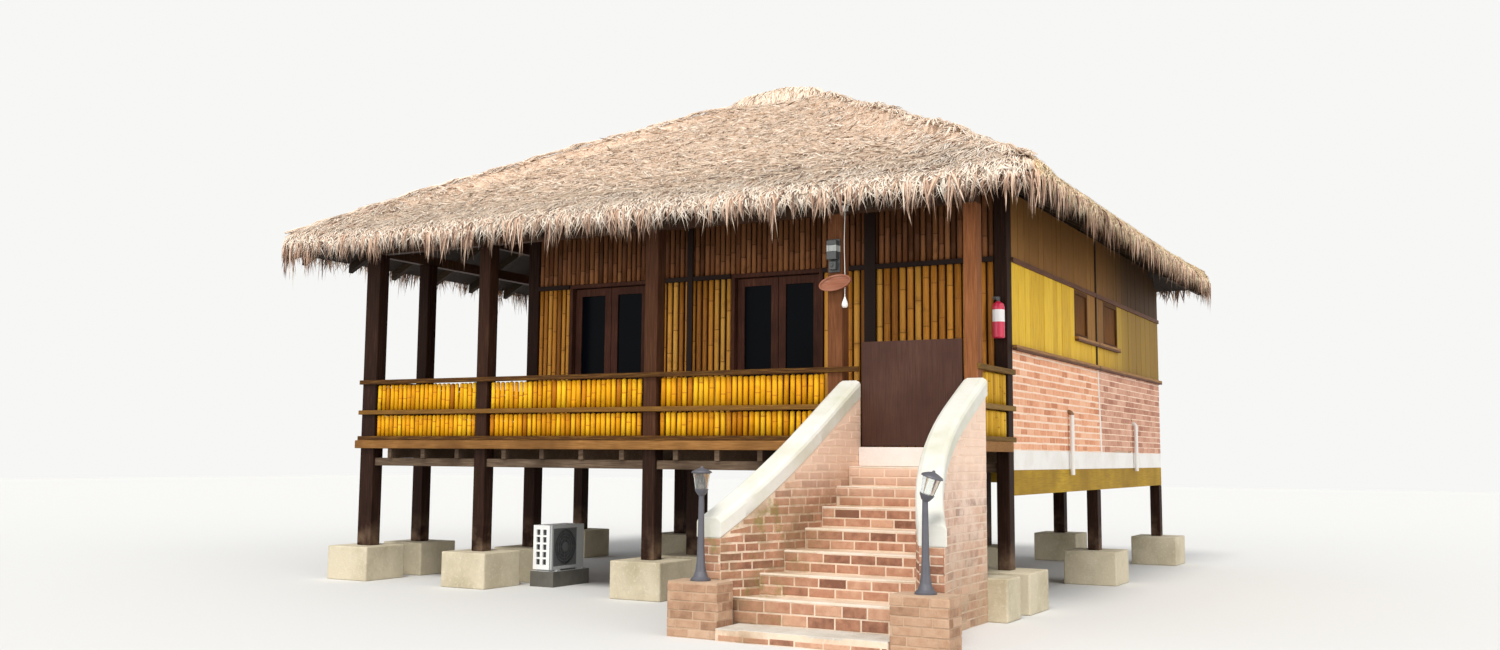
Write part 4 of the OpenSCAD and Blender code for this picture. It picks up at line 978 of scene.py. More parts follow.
def bamboo_wall(name, face, top, pitch, fill, paint, back_paint, gaps=(), kinks=(), foot_z=DECK_Z):
    """Upright culms on a backing of boards. top(u) is the wall's head and gaps are its windows along u."""
    strips, back = Pile(), Pile()
    lo, hi = (float(np.dot(corner, face.along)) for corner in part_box(name))
    for a, b, is_gap in spans_around(lo, hi, gaps, kinks):
        count = max(1, round((b - a) / pitch))
        half = (b - a) / count / 2
        for low, high in ((foot_z, WINDOW_Z[0]), (WINDOW_Z[1], SKY)) if is_gap else ((foot_z, SKY),):
            heads = [min(high, top(u)) for u in (a, b)]
            quad = [face.at(u, WALL_T, z) for u, z in ((a, low), (b, low), (b, heads[1]), (a, heads[0]))]
            slabs(back, [quad[::-1] if face.turned else quad], (face.out * (WALL_T - CULM_BACK))[None], 0.001)
            for k in range(count):
                u = a + (2 * k + 1) * half
                height = min(high, top(u - half), top(u + half)) - low - 0.002
                culm(strips, face.at(u, CULM_BACK, low), UP, face.along, face.out, height,
                     half * fill * rng.uniform(0.88, 1.0), rng.normal(0.5, 0.22), False,
                     min(0.97, CULM_DEPTH / (half * fill)), 0.45)
    strips.build(name + "_culms", paint, "bamboo_wall", name, smooth=True)
    back.build(name + "_backing", back_paint, "bamboo_wall", name)


def make_bamboo_walls():
    # The gold culms darken upwards, partly their own browner tone and partly painted shade under the eave.
    gold = bamboo_paint("bamboo_wall_gold", (0.26, 0.095, 0.016), (0.84, 0.35, 0.045), (0.98, 0.54, 0.1),
                        eave_shade=(2.3, 3.5, 0.45))
    # The culms above the batten are painted darker towards the roof as shade under the eave.
    dark = bamboo_paint("bamboo_wall_dark", (0.08, 0.03, 0.012), (0.23, 0.088, 0.034), (0.34, 0.145, 0.055),
                        eave_shade=(3.6, 4.2, 0.7))
    # The backing is painted near black: painted shade in the gaps between the culms.
    back = timber("wall_backing", "z", (0.008, 0.005, 0.003), (0.02, 0.012, 0.007), (0.04, 0.022, 0.012), 0.8)
    front = Face("front", ROOM_Y)
    for part, pitch, fill in (("left", 0.065, 0.84), ("middle", 0.078, 0.76), ("right", 0.085, 0.88)):
        bamboo_wall("front_wall_" + part, front, lambda u: HEAD_Z, pitch, fill, gold, back)
    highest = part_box("front_wall_top")[1].z
    bamboo_wall("front_wall_top", front, lambda u: min(plate_height(u, ROOM_Y), highest), 0.066, 0.93, dark,
                back, foot_z=HEAD_Z)
    level = RUN - (HALF_L + ROOM_X)
    bamboo_wall("left_wall", Face("left", ROOM_X), lambda u: plate_height(ROOM_X, u), 0.068, 0.93, gold, back,
                WINDOW_Y, (ROOF_Y - level, ROOF_Y + level))


# Board walls

BOARD_T, BOARD_JOINT = 0.022, 0.009
BOARD_WIDTHS = (0.17, 0.22, 0.28, 0.34)
LAST_BOARD = 0.42


def board_wall(name, face, top, gaps, paint, shaded_paint, back_paint):
    """Upright boards on a backing, brown above the batten and between the windows, which stay open: the brown
    is a copy of the boards with painted shade.
    """
    lower, upper, back = Pile(), Pile(), Pile()
    lo, hi = (float(np.dot(corner, face.along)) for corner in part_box(name))
    sill, lintel = WINDOW_Z
    for a, b, is_gap in spans_around(lo, hi, gaps):
        turn = sill if gaps[0][1] < (a + b) / 2 < gaps[1][0] else lintel + 0.03
        edges = [a]
        while edges[-1] < b - LAST_BOARD:
            edges.append(edges[-1] + rng.choice(BOARD_WIDTHS))
        edges.append(b)
        stretches = ((BRICK_TOP, sill if is_gap else turn, lower), (lintel if is_gap else turn, SKY, upper))
        for low, high, pile in stretches:
            ends = face.at(a, WALL_T, low), face.at(b, BOARD_T, min(high, top(a), top(b)))
            box(back, np.minimum(*ends), np.maximum(*ends))
            for p, q in zip(edges, edges[1:]):
                head = min(high, top(p), top(q))
                corner = face.at(p + BOARD_JOINT / 2, BOARD_T, low + 0.001)
                plates(pile, corner, face.along * (q - p - BOARD_JOINT), UP * (head - low - 0.002),
                       face.out * (BOARD_T - rng.uniform(0, 0.003)), 0.003, rng.uniform(0.2, 0.9))
    for pile, part, material in ((lower, "_boards", paint), (upper, "_upper_boards", shaded_paint),
                                 (back, "_backing", back_paint)):
        pile.build(name + part, material, "gold_boards", name)


def make_board_walls():
    # Both board paints are painted darker behind the wall's joint as shade towards the rear; the brown one is
    # the gold boards' shaded copy, also painted darker upwards as shade under the eave.
    gold = timber("gold_boards", "z", (0.42, 0.22, 0.008), (0.7, 0.42, 0.018), (0.88, 0.6, 0.06), 0.5, True,
                  rear=((0.1, 0.045, 0.006), 0.7))
    brown = timber("brown_boards", "z", (0.13, 0.055, 0.012), (0.28, 0.13, 0.03), (0.42, 0.22, 0.06),
                   toned=True, eave_shade=(3.3, 4.3, 0.8), rear=((0.02, 0.01, 0.004), 0.8))
    back = timber("board_backing", "z", (0.02, 0.012, 0.006), (0.04, 0.022, 0.012), (0.07, 0.04, 0.02), 0.8)
    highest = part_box("right_board_wall")[1].z
    for side, where, top, gaps in (
            ("right", RIGHT_X, lambda u: min(plate_height(RIGHT_X, u), highest), WINDOW_Y),
            ("rear", REAR_Y, lambda u: plate_height(0, REAR_Y), WINDOW_X)):
        board_wall(side + "_board_wall", Face(side, where), top, gaps, gold, brown, back)


# Floors

DECK_T = 0.04
DECK_BOARD = 0.142
LONGEST_BOARD = 2.5


def deck(pile, x0, x1, y0, y1):
    """Floor boards along X, broken into lengths."""
    count = round((y1 - y0) / DECK_BOARD)
    wide = (y1 - y0) / count
    for k in range(count):
        marks = [x0, x1] if x1 - x0 < LONGEST_BOARD else [x0, x0 + (x1 - x0) * rng.uniform(0.3, 0.7), x1]
        for a, b in zip(marks, marks[1:]):
            plates(pile, (a + 0.001, y0 + k * wide + 0.002, DECK_Z - DECK_T), X * (b - a - 0.002),
                   Y * (wide - 0.004), UP * (DECK_T - rng.uniform(0, 0.002)), 0.003, rng.uniform(0.2, 0.9))


def make_floors():
    wood = timber("deck_wood", "x", (0.09, 0.045, 0.02), (0.22, 0.12, 0.06), (0.33, 0.2, 0.11), toned=True)
    outside, inside = Pile(), Pile()
    lo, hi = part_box("verandah_deck")
    deck(outside, lo.x, hi.x, lo.y, ROOM_Y)
    deck(outside, lo.x, ROOM_X, ROOM_Y, hi.y)
    outside.build("verandah_boards", wood, "deck_wood", "verandah_deck")
    lo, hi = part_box("room_floor")
    deck(inside, lo.x, hi.x, lo.y, hi.y)
    inside.build("room_boards", wood, "deck_wood", "room_floor")


# Brickwork

BRICK_L = 0.235
COURSE = 0.0745
MORTAR = 0.011
PROUD = 0.006
BRICK_T = 0.014
# The lost joint strip and the lost piece of brick, as (start, end, foot, head)
LOST = ((2.16, 3.11, 1.549, 1.572), (3.14, 3.2, 1.966, 2.000))
LOST_DEPTH = 0.04


def cut_out(part, hole):
    """What a hole leaves of a rectangle; both are given as (start, end, foot, head)."""
    a, b, foot, head = part
    p, q, low, high = hole
    if p >= b or q <= a or low >= head or high <= foot:
        return [part]
    left = [(a, p, foot, head), (q, b, foot, head),
            (max(a, p), min(b, q), foot, low), (max(a, p), min(b, q), high, head)]
    return [r for r in left if r[1] - r[0] > 0.012 and r[3] - r[2] > 0.012]


def around(parts, holes):
    """What the holes leave of rectangles."""
    for hole in holes:
        parts = [left for part in parts for left in cut_out(part, hole)]
    return parts


def lay_bricks(pile, point, out, length, z0, z1, top=None, tone=0.5, rows=None, joint=MORTAR, holes=()):
    """Stretcher bond on an upright face.

    point(s) and out(s) are in plan at distance s, and top(s) is the height that the bricks may reach.
    """
    rows = rows or max(1, round((z1 - z0) / COURSE))
    quads, faces, tones = [], [], []
    for k in range(rows):
        low = z0 + k * (z1 - z0) / rows + joint / 2
        high = z0 + (k + 1) * (z1 - z0) / rows - joint / 2
        s = -BRICK_L * (0.5 if k % 2 else 0.0) + rng.uniform(-0.03, 0.03)
        while s < length:
            size = BRICK_L * rng.uniform(0.9, 1.08)
            sag = rng.normal(0, joint * 0.1, 2)
            brick = max(s, 0) + joint / 2, min(s + size, length) - joint / 2, low + sag[0], high + sag[1]
            s += size
            way = out(min(s, length) - BRICK_L / 2)
            depth, shade = BRICK_T + rng.uniform(-0.003, 0.0), rng.normal(0, 0.22)
            for a, b, foot, head in around([brick], holes):
                heads = [min(head, top(q) if top else head) for q in (a, b)]
                if b - a < 0.02 or min(heads) < foot + 0.015:
                    continue
                start, end = (point(q) - way * BRICK_T for q in (a, b))
                quad = [start + UP * foot, end + UP * foot, end + UP * heads[1], start + UP * heads[0]]
                quads.append(quad if np.dot(np.cross(quad[1] - quad[0], UP), way) > 0 else quad[::-1])
                faces.append(way * depth)
                tones.append(tone + shade)
    if quads:
        slabs(pile, quads, np.array(faces), 0.004, tones)


def flat_bricks(pile, face, u0, u1, z0, z1, holes=(), **more):
    lay_bricks(pile, lambda s: face.at(u0 + s), lambda s: face.out, u1 - u0, z0, z1,
               holes=[(a - u0, b - u0, low, high) for a, b, low, high in holes], **more)


def make_brick_walls():
    orange = brick_paint("brick_orange", (0.56, 0.22, 0.11), (0.78, 0.36, 0.2), (0.88, 0.5, 0.32))
    red = brick_paint("brick_red", (0.4, 0.17, 0.11), (0.6, 0.31, 0.21), (0.74, 0.44, 0.32))
    mortar = mineral("wall_mortar", (0.92, 0.72, 0.56), (0.84, 0.6, 0.44), (0.95, 0.8, 0.68), 0.9)
    pale = mineral("joint_strip", (0.84, 0.78, 0.72), (0.7, 0.6, 0.52), (0.9, 0.86, 0.8), 0.8)
    lo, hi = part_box("right_brick_wall")
    front, back, core, strip = (Pile() for _ in range(4))
    wall = Face("right", RIGHT_X)
    split = sum(STRIP_Y) / 2
    flat_bricks(front, wall, lo.y, split, BRICK_FOOT, BRICK_TOP, tone=0.55, joint=0.019)
    flat_bricks(back, wall, split, hi.y, BRICK_FOOT, BRICK_TOP, holes=LOST)
    for a, b, foot, head in around([(lo.y, hi.y - PROUD, lo.z, hi.z)], LOST):
        box(core, (hi.x - LOST_DEPTH, a, foot), (hi.x - PROUD, b, head))
    box(core, (lo.x, lo.y, lo.z), (hi.x - LOST_DEPTH, hi.y - PROUD, hi.z))
    plates(strip, (RIGHT_X - 0.016, STRIP_Y[1] - 0.03, BRICK_FOOT), Y * 0.06,
           UP * (BRICK_TOP - BRICK_FOOT) + Y * (STRIP_Y[0] - STRIP_Y[1]), X * 0.016, 0.003)
    for pile, name, material in ((front, "right_bricks_front", orange), (back, "right_bricks_rear", red),
                                 (core, "right_wall_mortar", mortar), (strip, "right_wall_joint", pale)):
        pile.build(name, material, "brick", "right_brick_wall")
    lo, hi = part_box("rear_brick_wall")
    bricks, core = Pile(), Pile()
    flat_bricks(bricks, Face("rear", REAR_Y), lo.x, RIGHT_X, BRICK_FOOT, BRICK_TOP)
    box(core, (lo.x, lo.y, lo.z), (hi.x, hi.y - PROUD, hi.z))
    bricks.build("rear_bricks", red, "brick", "rear_brick_wall")
    core.build("rear_wall_mortar", mortar, "brick", "rear_brick_wall")


# Stair

STAIR_X = 3.415
FRONT_Y = ROW_Y[0]
RISER, TREAD = 0.179, 0.28
STEPS = 8
STEP_Y = [-5.3] + [FRONT_Y - (STEPS + 1 - k) * TREAD for k in range(2, STEPS + 2)]
STEP_Z = [0.1] + [DECK_Z - 0.005 - (STEPS + 1 - k) * RISER for k in range(2, STEPS + 1)]
STAIR_HALF, STAIR_FLARE, FLARE_AFTER = 0.515, 0.36, 0.45
PARAPET_T, COPING_H = 0.22, 0.17
PARAPET_END = -5.0
PARAPET_HEAD, PARAPET_FOOT, PARAPET_RISE = 2.21, 0.96, 0.07
PARAPET_ROWS = 28
STATION = TREAD / 2
PIER_OFF, PIER_W, PIER_H = 0.985, 0.48, 0.45
PIER_Y = (-5.27, PARAPET_END)
# A parapet's inner line in plan and the height of its brickwork, from the house to its end
LINE_Y = np.array([FRONT_Y - 0.002] + [max(FRONT_Y - k * STATION, PARAPET_END)
                                       for k in range(1, math.ceil((FRONT_Y - PARAPET_END) / STATION) + 1)])
FALL = (FRONT_Y - LINE_Y) / (FRONT_Y - PARAPET_END)
FLARE = np.clip((FRONT_Y - FLARE_AFTER - LINE_Y) / (FRONT_Y - FLARE_AFTER - PARAPET_END), 0, 1)
LINE_X = STAIR_HALF + STAIR_FLARE * FLARE ** 2.4
LINE_Z = PARAPET_HEAD + (PARAPET_FOOT - PARAPET_HEAD) * FALL
LINE_Z = LINE_Z + PARAPET_RISE * np.sin(math.pi * FALL) - COPING_H


def inner_half(y):
    """Half the clear width of the stair at y."""
    return np.interp(-y, -LINE_Y, LINE_X)


def parapet(side, bricks, core):
    """Brickwork of one parapet, its two faces following the flare and stopping under the coping."""
    run = np.concatenate([[0], np.cumsum(np.hypot(np.diff(LINE_X), np.diff(LINE_Y)))])
    for off, sign in ((0.0, -1), (PARAPET_T, 1)):
        def point(s):
            x = STAIR_X + side * (np.interp(s, run, LINE_X) + off)
            return np.array([x, np.interp(s, run, LINE_Y), 0.0])

        def out(s):
            s = np.clip(s, 0.02, run[-1] - 0.02)
            way = point(s + 0.02) - point(s - 0.02)
            normal = np.array([-way[1], way[0], 0.0]) / np.linalg.norm(way)
            return normal * (1 if normal[0] * side * sign > 0 else -1)

        lay_bricks(bricks, point, out, run[-1], 0.0, PARAPET_ROWS * COURSE,
                   lambda s: np.interp(s, run, LINE_Z) - 0.002, joint=0.014)
    ends = sorted(STAIR_X + side * (LINE_X[-1] + v) for v in (0, PARAPET_T))
    flat_bricks(bricks, Face("front", PARAPET_END), *ends, PIER_H, LINE_Z[-1])
    rows = []
    for x, y, z in zip(LINE_X, LINE_Y, LINE_Z):
        a, b = STAIR_X + side * (x + PROUD), STAIR_X + side * (x + PARAPET_T - PROUD)
        y = max(y, PARAPET_END + PROUD)
        row = [(a, y, 0), (b, y, 0), (b, y, z), (a, y, z)]
        rows.append(row if side > 0 else row[::-1])
    sweep(core, rows)


def lay_edge(pile, x0, x1, y, z, depth):
    """Mortar along the front edge of a tread, in uneven lengths of uneven thickness."""
    a = x0
    while a < x1 - 0.02:
        b = min(a + rng.uniform(0.12, 0.34), x1)
        b = x1 if x1 - b < 0.08 else b
        thick = rng.uniform(0.008, 0.02)
        corner = (a, y + rng.uniform(0.001, 0.006), z - thick)
        plates(pile, corner, X * (b - a), Y * depth, UP * (thick - 0.001), 0.003)
        a = b


def lay_steps(bricks, core, edges, foot):
    """The flight, whose lowest step runs between the piers, and the mortar on its treads."""
    for k, (y0, y1, z1) in enumerate(zip(STEP_Y, STEP_Y[1:], STEP_Z)):
        z0 = STEP_Z[k - 1] if k else 0.0
        half, back = (inner_half(y0), inner_half(y1)) if k else (PIER_OFF - PIER_W / 2,) * 2
        top = z1 - 0.004
        sweep(core, [[(STAIR_X - w, y, 0), (STAIR_X + w, y, 0), (STAIR_X + w, y, top), (STAIR_X - w, y, top)]
                     for w, y in ((half, y0 + PROUD), (back, y1 + 0.03))])
        flat_bricks(bricks, Face("front", y0, STAIR_X), -half, half, z0, z1 - (0.016 if k else 0.045),
                    rows=2 if k else 1, joint=0.014)
        if k:
            lay_edge(edges, STAIR_X - half + 0.002, STAIR_X + half - 0.002, y0, z1, 0.06)
    lay_edge(foot, STAIR_X - PIER_OFF + PIER_W / 2, STAIR_X + PIER_OFF - PIER_W / 2, STEP_Y[0] + 0.004,
             STEP_Z[0], STEP_Y[1] - STEP_Y[0])


def lay_piers(bricks, core):
    y0, y1 = PIER_Y
    for side in (-1, 1):
        x0, x1 = (STAIR_X + side * PIER_OFF + v * PIER_W / 2 for v in (-1, 1))
        for name, where, u0, u1 in (("front", y0, x0, x1), ("rear", y1, x0, x1), ("left", x0, y0, y1),
                                    ("right", x1, y0, y1)):
            flat_bricks(bricks, Face(name, where), u0, u1, 0.0, PIER_H - 0.012, tone=0.45)
        box(core, (x0 + PROUD, y0 + PROUD, 0), (x1 - PROUD, y1 - PROUD, PIER_H))


def make_stair():
    red = brick_paint("stair_brick", (0.2, 0.085, 0.05), (0.42, 0.2, 0.12), (0.6, 0.35, 0.23), weather=True)
    brown = brick_paint("pier_brick", (0.28, 0.15, 0.085), (0.44, 0.265, 0.165), (0.56, 0.38, 0.26))
    mortar = mineral("stair_mortar", (0.76, 0.61, 0.47), (0.54, 0.37, 0.24), (0.86, 0.74, 0.62), 0.9, 1.5,
                     weather=True)
    nosing = mineral("stair_nosing", (0.78, 0.67, 0.57), (0.56, 0.47, 0.27), (0.86, 0.8, 0.73), 0.85, 1.5)
    rough = mineral("pier_mortar", (0.5, 0.34, 0.23), (0.36, 0.24, 0.15), (0.6, 0.46, 0.34), 0.9, 1.5)
    cement = mineral("step_cement", (0.66, 0.62, 0.55), (0.46, 0.4, 0.33), (0.8, 0.77, 0.72), 0.95, 1.5,
                     0.012)
    bricks, core, edges, foot, pier_bricks, pier_core = (Pile() for _ in range(6))
    lay_steps(bricks, core, edges, foot)
    for side in (-1, 1):
        parapet(side, bricks, core)
    lay_piers(pier_bricks, pier_core)
    bricks.build("stair_bricks", red, "brick", "stair_steps", "stair_parapets")
    core.build("stair_core", mortar, "brick", "stair_steps", "stair_parapets")
    edges.build("stair_nosings", nosing, "brick", "stair_steps")
    foot.build("stair_foot_cement", cement, "brick", "stair_steps")
    pier_bricks.build("pier_bricks", brown, "brick", "stair_piers")
    pier_core.build("pier_core", rough, "brick", "stair_piers")


# Finishes of the nodes that stay

def shade_auto(node, angle=35):
    """Smooth faces on a turned or swept node, sharp where they meet at more than the angle."""
    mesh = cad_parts[node].data
    mesh.polygons.foreach_set("use_smooth", np.full(len(mesh.polygons), True))
    if hasattr(mesh, "set_sharp_from_angle"):
        mesh.set_sharp_from_angle(angle=math.radians(angle))


WORN_FOOT = (0.3, 0.2, 0.13)


def post_paint():
    """Dark oiled posts, their darkness partly painted shade; the two beside the gate are redder, partly their
    wood and partly painted light where the light falls on them; all feet are worn pale.
    """
    paint = Paint("post_timber", 0.6, Specular_IOR_Level=0.05)
    lines = paint.grain("z", 60.0, 3.0)
    dark = paint.shades(lines, (0.012, 0.006, 0.004), (0.028, 0.013, 0.009), (0.058, 0.029, 0.019))
    red = paint.shades(lines, (0.12, 0.042, 0.016), (0.24, 0.09, 0.035), (0.34, 0.15, 0.07))
    x, y, z = paint.split()
    # Painted light and shade: the redness grows from the shaded left front posts to the lit ones beside the
    # gate.
    front = paint.below(y, -2.5)
    corner = paint.times(paint.span(x, 3.85, 3.95), front)
    others = paint.math("ADD", paint.span(x, 2.3, 2.5, 0.0, 0.4), paint.span(x, -2.4, 0.4, 0.0, 0.2))
    others = paint.times(others, front)
    above_deck = paint.span(z, 1.55, 1.6)
    colour = paint.mix(paint.times(paint.math("MAXIMUM", corner, others), above_deck), dark, red)
    worn = paint.times(paint.span(z, 0.75, 0.4), paint.span(paint.noise(5.0, 4.0), 0.4, 0.7), 0.6)
    paint.colour(paint.mix(worn, colour, WORN_FOOT))
    paint.rough(lines, 0.4, 0.75)
    paint.bump(lines, 0.003, 0.6)
    return paint.material


def batten_paint():
    """Reddish dark battens, with golden brown ledges and sills whose lower faces are painted dark as their
    shadow.
    """
    paint = Paint("batten_timber", 0.6, Specular_IOR_Level=0.15)
    lines = paint.grain("y", 80.0, 4.0)
    dark = paint.shades(lines, (0.05, 0.02, 0.01), (0.12, 0.048, 0.024), (0.19, 0.085, 0.045))
    ledge = paint.shades(lines, (0.17, 0.08, 0.025), (0.34, 0.17, 0.055), (0.48, 0.27, 0.1))
    x, y, z = paint.split()
    dark = paint.mix(paint.below(y, ROW_Y[1] + 0.1), dark, (0.018, 0.008, 0.005))
    # Painted shadow: only the top of each ledge and sill is golden; below that it stays dark.
    at_ledge, at_sill = (paint.times(paint.span(z, top - 0.035, top - 0.02), paint.below(z, top + 0.002))
                         for top in (BRICK_TOP, WINDOW_Z[0]))
    gold = paint.times(paint.math("MAXIMUM", at_ledge, at_sill), paint.above(x, RIGHT_X + 0.001))
    joint = paint.times(paint.near(y, JOINT_Y, 0.021), 0.75)
    paint.colour(paint.mix(joint, paint.mix(gold, dark, ledge), (0.012, 0.008, 0.006)))
    paint.bump(lines, 0.002, 0.6)
    return paint.material


SHUTTER_SET = 0.035


def frame_paint():
    """Window frames, with the side walls' shutters browner and lighter towards their foot: their darker heads
    are painted shadow of the batten above.
    """
    paint = Paint("window_timber", 0.65, Specular_IOR_Level=0.05)
    lines = paint.grain("z", 70.0, 3.0)
    wood = paint.shades(lines, (0.04, 0.016, 0.005), (0.1, 0.042, 0.014), (0.17, 0.08, 0.03))
    board = paint.shades(lines, (0.08, 0.028, 0.006), (0.17, 0.065, 0.014), (0.27, 0.12, 0.035))
    x, _, z = paint.split()
    planes = RIGHT_X - SHUTTER_SET, ROOM_X + SHUTTER_SET
    shutter = paint.math("MAXIMUM", *(paint.near(x, plane, 0.011) for plane in planes))
    # Painted shadow: the shutters darken towards their heads.
    paint.colour(paint.mix(paint.times(shutter, paint.span(z, 3.4, 2.95, 0.1, 1.0)), wood, board))
    paint.bump(lines, 0.002, 0.6)
    return paint.material


UNIT_FAN_X, UNIT_BAY_X, UNIT_GRILLE_Y = -1.082, -1.078, -2.536
UNIT_PANEL_Y, UNIT_PANEL_Z = (-2.53, -2.1), (0.225, 0.645)
UNIT_PLINTH_Z = 0.172


def aircon_paint():
    """White case whose fan side is painted grey as shade, its panel and grille holes painted dark as shade,
    on a mottled concrete plinth painted dark as the shade under the house.
    """
    paint = Paint("aircon_finish", 0.4)
    x, y, z = paint.split()
    soil = paint.span(paint.noise(6.0, 4.0), 0.5, 0.8, 0.0, 0.35)
    case = paint.mix(soil, (0.8, 0.81, 0.8), (0.52, 0.53, 0.5))
    # Painted shade in the recessed bay and grille faces.
    inner = paint.math("MAXIMUM", paint.near(x, UNIT_BAY_X, 0.006), paint.near(y, UNIT_GRILLE_Y, 0.003))
    case = paint.mix(inner, case, (0.03, 0.032, 0.034))
    shaded_fan_side = paint.above(x, UNIT_FAN_X)
    panel = [paint.times(paint.above(at, low), paint.below(at, high))
             for at, (low, high) in ((y, UNIT_PANEL_Y), (z, UNIT_PANEL_Z))]
    # Painted shade: the fan side is grey, and its panel darker still.
    case = paint.mix(paint.times(shaded_fan_side, 0.75), case, (0.26, 0.275, 0.28))
    case = paint.mix(paint.times(shaded_fan_side, *panel, 0.9), case, (0.045, 0.05, 0.052))
    # Painted shade: the plinth is dark, as it stands under the house.
    plinth = paint.mix(paint.noise(9.0, 4.0), (0.05, 0.048, 0.042), (0.14, 0.13, 0.11))
    paint.colour(paint.mix(paint.below(z, UNIT_PLINTH_Z), case, plinth))
    return paint.material


def mottled(name, rough, scale, detail, dark, light, metal=0.0, **sockets):
    """Smooth paint, plastic or glass between two near colours."""
    paint = Paint(name, rough, metal, **sockets)
    paint.colour(paint.mix(paint.noise(scale, detail), dark, light))
    return paint.material


def plain(name, rough, colour, metal=0.0, **sockets):
    paint = Paint(name, rough, metal, **sockets)
    paint.colour(colour)
    return paint.material


def drain_paint():
    """White pipes; the elbow of the front one is rusty brown."""
    paint = Paint("drain_plastic", 0.35)
    _, y, z = paint.split()
    elbow = paint.times(paint.above(z, 1.955), paint.below(y, 1.0))
    white = paint.mix(paint.noise(9.0, 3.0), (0.86, 0.85, 0.82), (0.74, 0.72, 0.68))
    paint.colour(paint.mix(elbow, white, (0.24, 0.12, 0.05)))
    return paint.material


def meter_paint():
    """Dark housing with a pale pane."""
    paint = Paint("meter_plastic", 0.4)
    case = paint.mix(paint.noise(20.0, 2.0), (0.03, 0.035, 0.035), (0.06, 0.065, 0.065))
    pane = paint.times(paint.near(paint.split()[2], 3.5, 0.03), 0.7)
    paint.colour(paint.mix(pane, case, (0.55, 0.57, 0.55)))
    return paint.material


def extinguisher_paint():
    """Red body with a pale band round its middle, and a black head."""
    paint = Paint("extinguisher_red", 0.3)
    z = paint.split()[2]
    body = paint.mix(paint.near(z, 2.86, 0.06), (0.62, 0.02, 0.07), (0.85, 0.82, 0.82))
    paint.colour(paint.mix(paint.above(z, 3.005), body, (0.03, 0.03, 0.03)))
    return paint.material


SOFT_EDGES = {"posts": 0.01, "bearers": 0.006, "joists": 0.005, "floor_rim": 0.008, "side_fascia": 0.005,
              "wall_battens": 0.004, "window_frames": 0.004, "door_frames": 0.004, "eave_beams": 0.008,
              "gate_panel": 0.004, "footings": 0.014, "parapet_copings": 0.012, "stair_top_riser": 0.008,
              "meter_box": 0.004, "floor_band": 0.004, "lamp_holder": 0.002}


# Node, name of its material, and how that looks
WOODEN = (
    ("eave_beams", "dark_timber", "z", (0.03, 0.016, 0.01), (0.08, 0.04, 0.024), (0.15, 0.085, 0.05)),
    ("floor_rim", "rim_timber", "x", (0.12, 0.052, 0.014), (0.29, 0.135, 0.038), (0.42, 0.22, 0.08)),
    ("side_fascia", "fascia_timber", "y", (0.25, 0.14, 0.012), (0.44, 0.27, 0.02), (0.56, 0.37, 0.05)),
    ("gate_panel", "gate_wood", "z", (0.048, 0.021, 0.015), (0.076, 0.036, 0.026), (0.1, 0.05, 0.037), 0.5),
    ("hanging_sign", "sign_wood", "x", (0.22, 0.075, 0.04), (0.46, 0.2, 0.125), (0.72, 0.46, 0.36)))
MASONRY = (
    ("floor_band", "floor_band", (0.84, 0.82, 0.79), (0.7, 0.66, 0.6), (0.88, 0.87, 0.85), 0.8),
    ("parapet_copings", "coping_white", (0.68, 0.67, 0.62), (0.52, 0.51, 0.37), (0.6, 0.59, 0.52), 0.8),
    ("stair_top_riser", "top_riser", (0.8, 0.76, 0.73), (0.72, 0.64, 0.58), (0.86, 0.83, 0.8), 0.8),
    ("footings", "footing_concrete", (0.6, 0.53, 0.39), (0.34, 0.29, 0.18), (0.72, 0.66, 0.53), 0.92, 0.8,
     0.01))


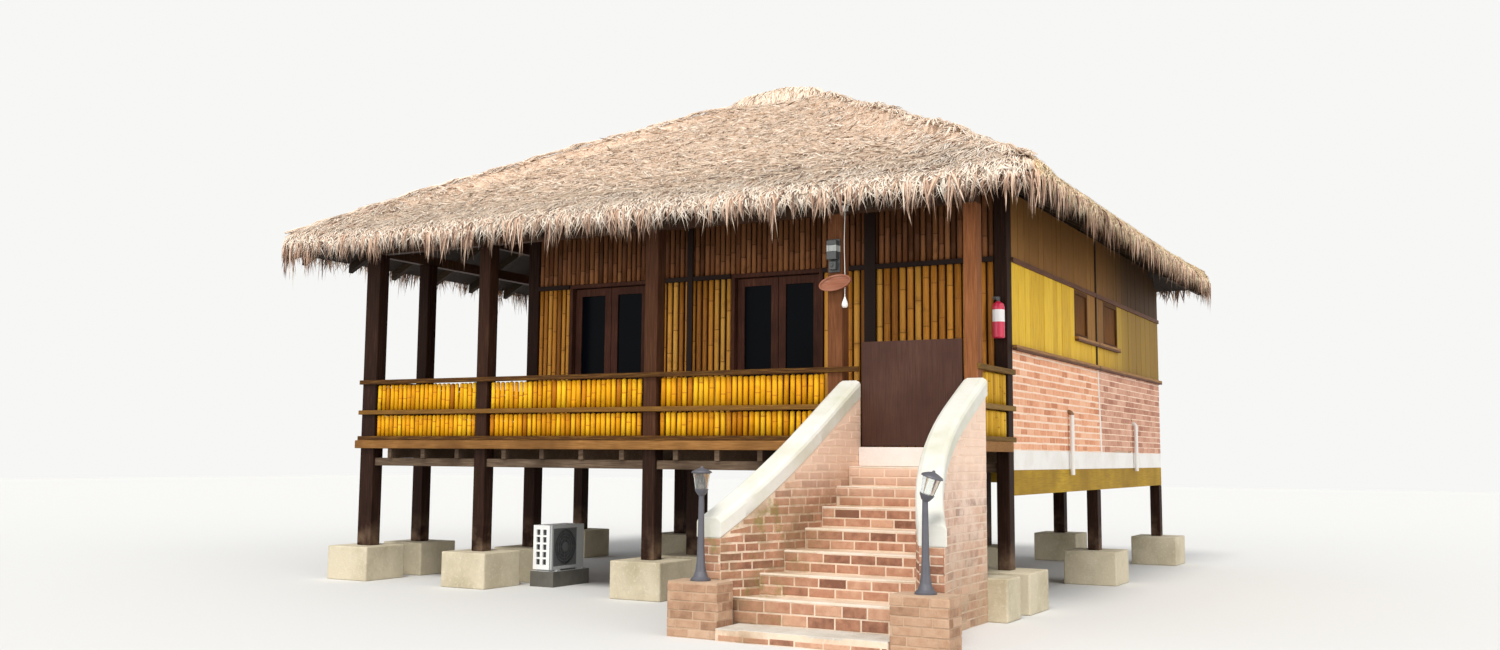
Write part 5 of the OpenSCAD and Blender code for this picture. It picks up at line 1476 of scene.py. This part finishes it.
def make_finishes():
    """Gives every node that stays its finish, and softens what is sawn, cast or turned."""
    beams = timber("under_beams", "x", (0.05, 0.032, 0.02), (0.15, 0.1, 0.065), (0.27, 0.2, 0.14))
    frames = timber("frame_timber", "z", (0.03, 0.01, 0.006), (0.085, 0.03, 0.018), (0.15, 0.064, 0.036))
    # The rafters, hip rafters and ridge beam are painted near black: painted shade under the roof.
    shaded_pole = timber("roof_pole", "x", (0.02, 0.013, 0.008), (0.05, 0.033, 0.02), (0.09, 0.062, 0.04))
    # The panes are painted near black: painted shade of the unlit rooms behind them.
    glass = mottled("dark_glass", 0.12, 1.5, 2.0, (0.001, 0.0015, 0.0025), (0.003, 0.004, 0.007),
                    Specular_IOR_Level=0.02)
    finish = {"posts": post_paint(), "wall_battens": batten_paint(), "window_frames": frame_paint(),
              "aircon_unit": aircon_paint(), "drain_pipes": drain_paint(), "meter_box": meter_paint(),
              "fire_extinguisher": extinguisher_paint(), "bearers": beams, "joists": beams,
              "door_frames": frames, "window_glass": glass,
              "rafters": shaded_pole, "hip_rafters": shaded_pole, "ridge_beam": shaded_pole,
              "hinges": plain("iron_black", 0.5, (0.05, 0.05, 0.05), 0.6),
              "lamp_holder": plain("white_plastic", 0.35, (0.82, 0.81, 0.78)),
              "lamp_globes": plain("lamp_glass", 0.08, (0.86, 0.9, 0.9), Transmission_Weight=0.9, IOR=1.3),
              "lamp_posts": mottled("lamp_metal", 0.45, 12.0, 3.0, (0.078, 0.078, 0.094),
                                    (0.115, 0.115, 0.135), 0.2)}
    for leaf in ("a_left", "a_right", "b_left", "b_right"):
        finish["door_" + leaf] = frames
        finish["glass_" + leaf] = glass
    for node, name, *look in WOODEN:
        finish[node] = timber(name, *look)
    for node, name, *look in MASONRY:
        finish[node] = mineral(name, *look)
    for node, material in finish.items():
        dress(node, material)
    for node, width in SOFT_EDGES.items():
        bevelled(node, width)
    for node in ("lamp_posts", "lamp_globes", "drain_pipes", "hanging_sign", "fire_extinguisher"):
        shade_auto(node)


# Everything

make_camera()
make_cord()
make_light()
make_floor()
make_thatch()
make_balustrades()
make_bamboo_walls()
make_board_walls()
make_floors()
make_brick_walls()
make_stair()
make_finishes()
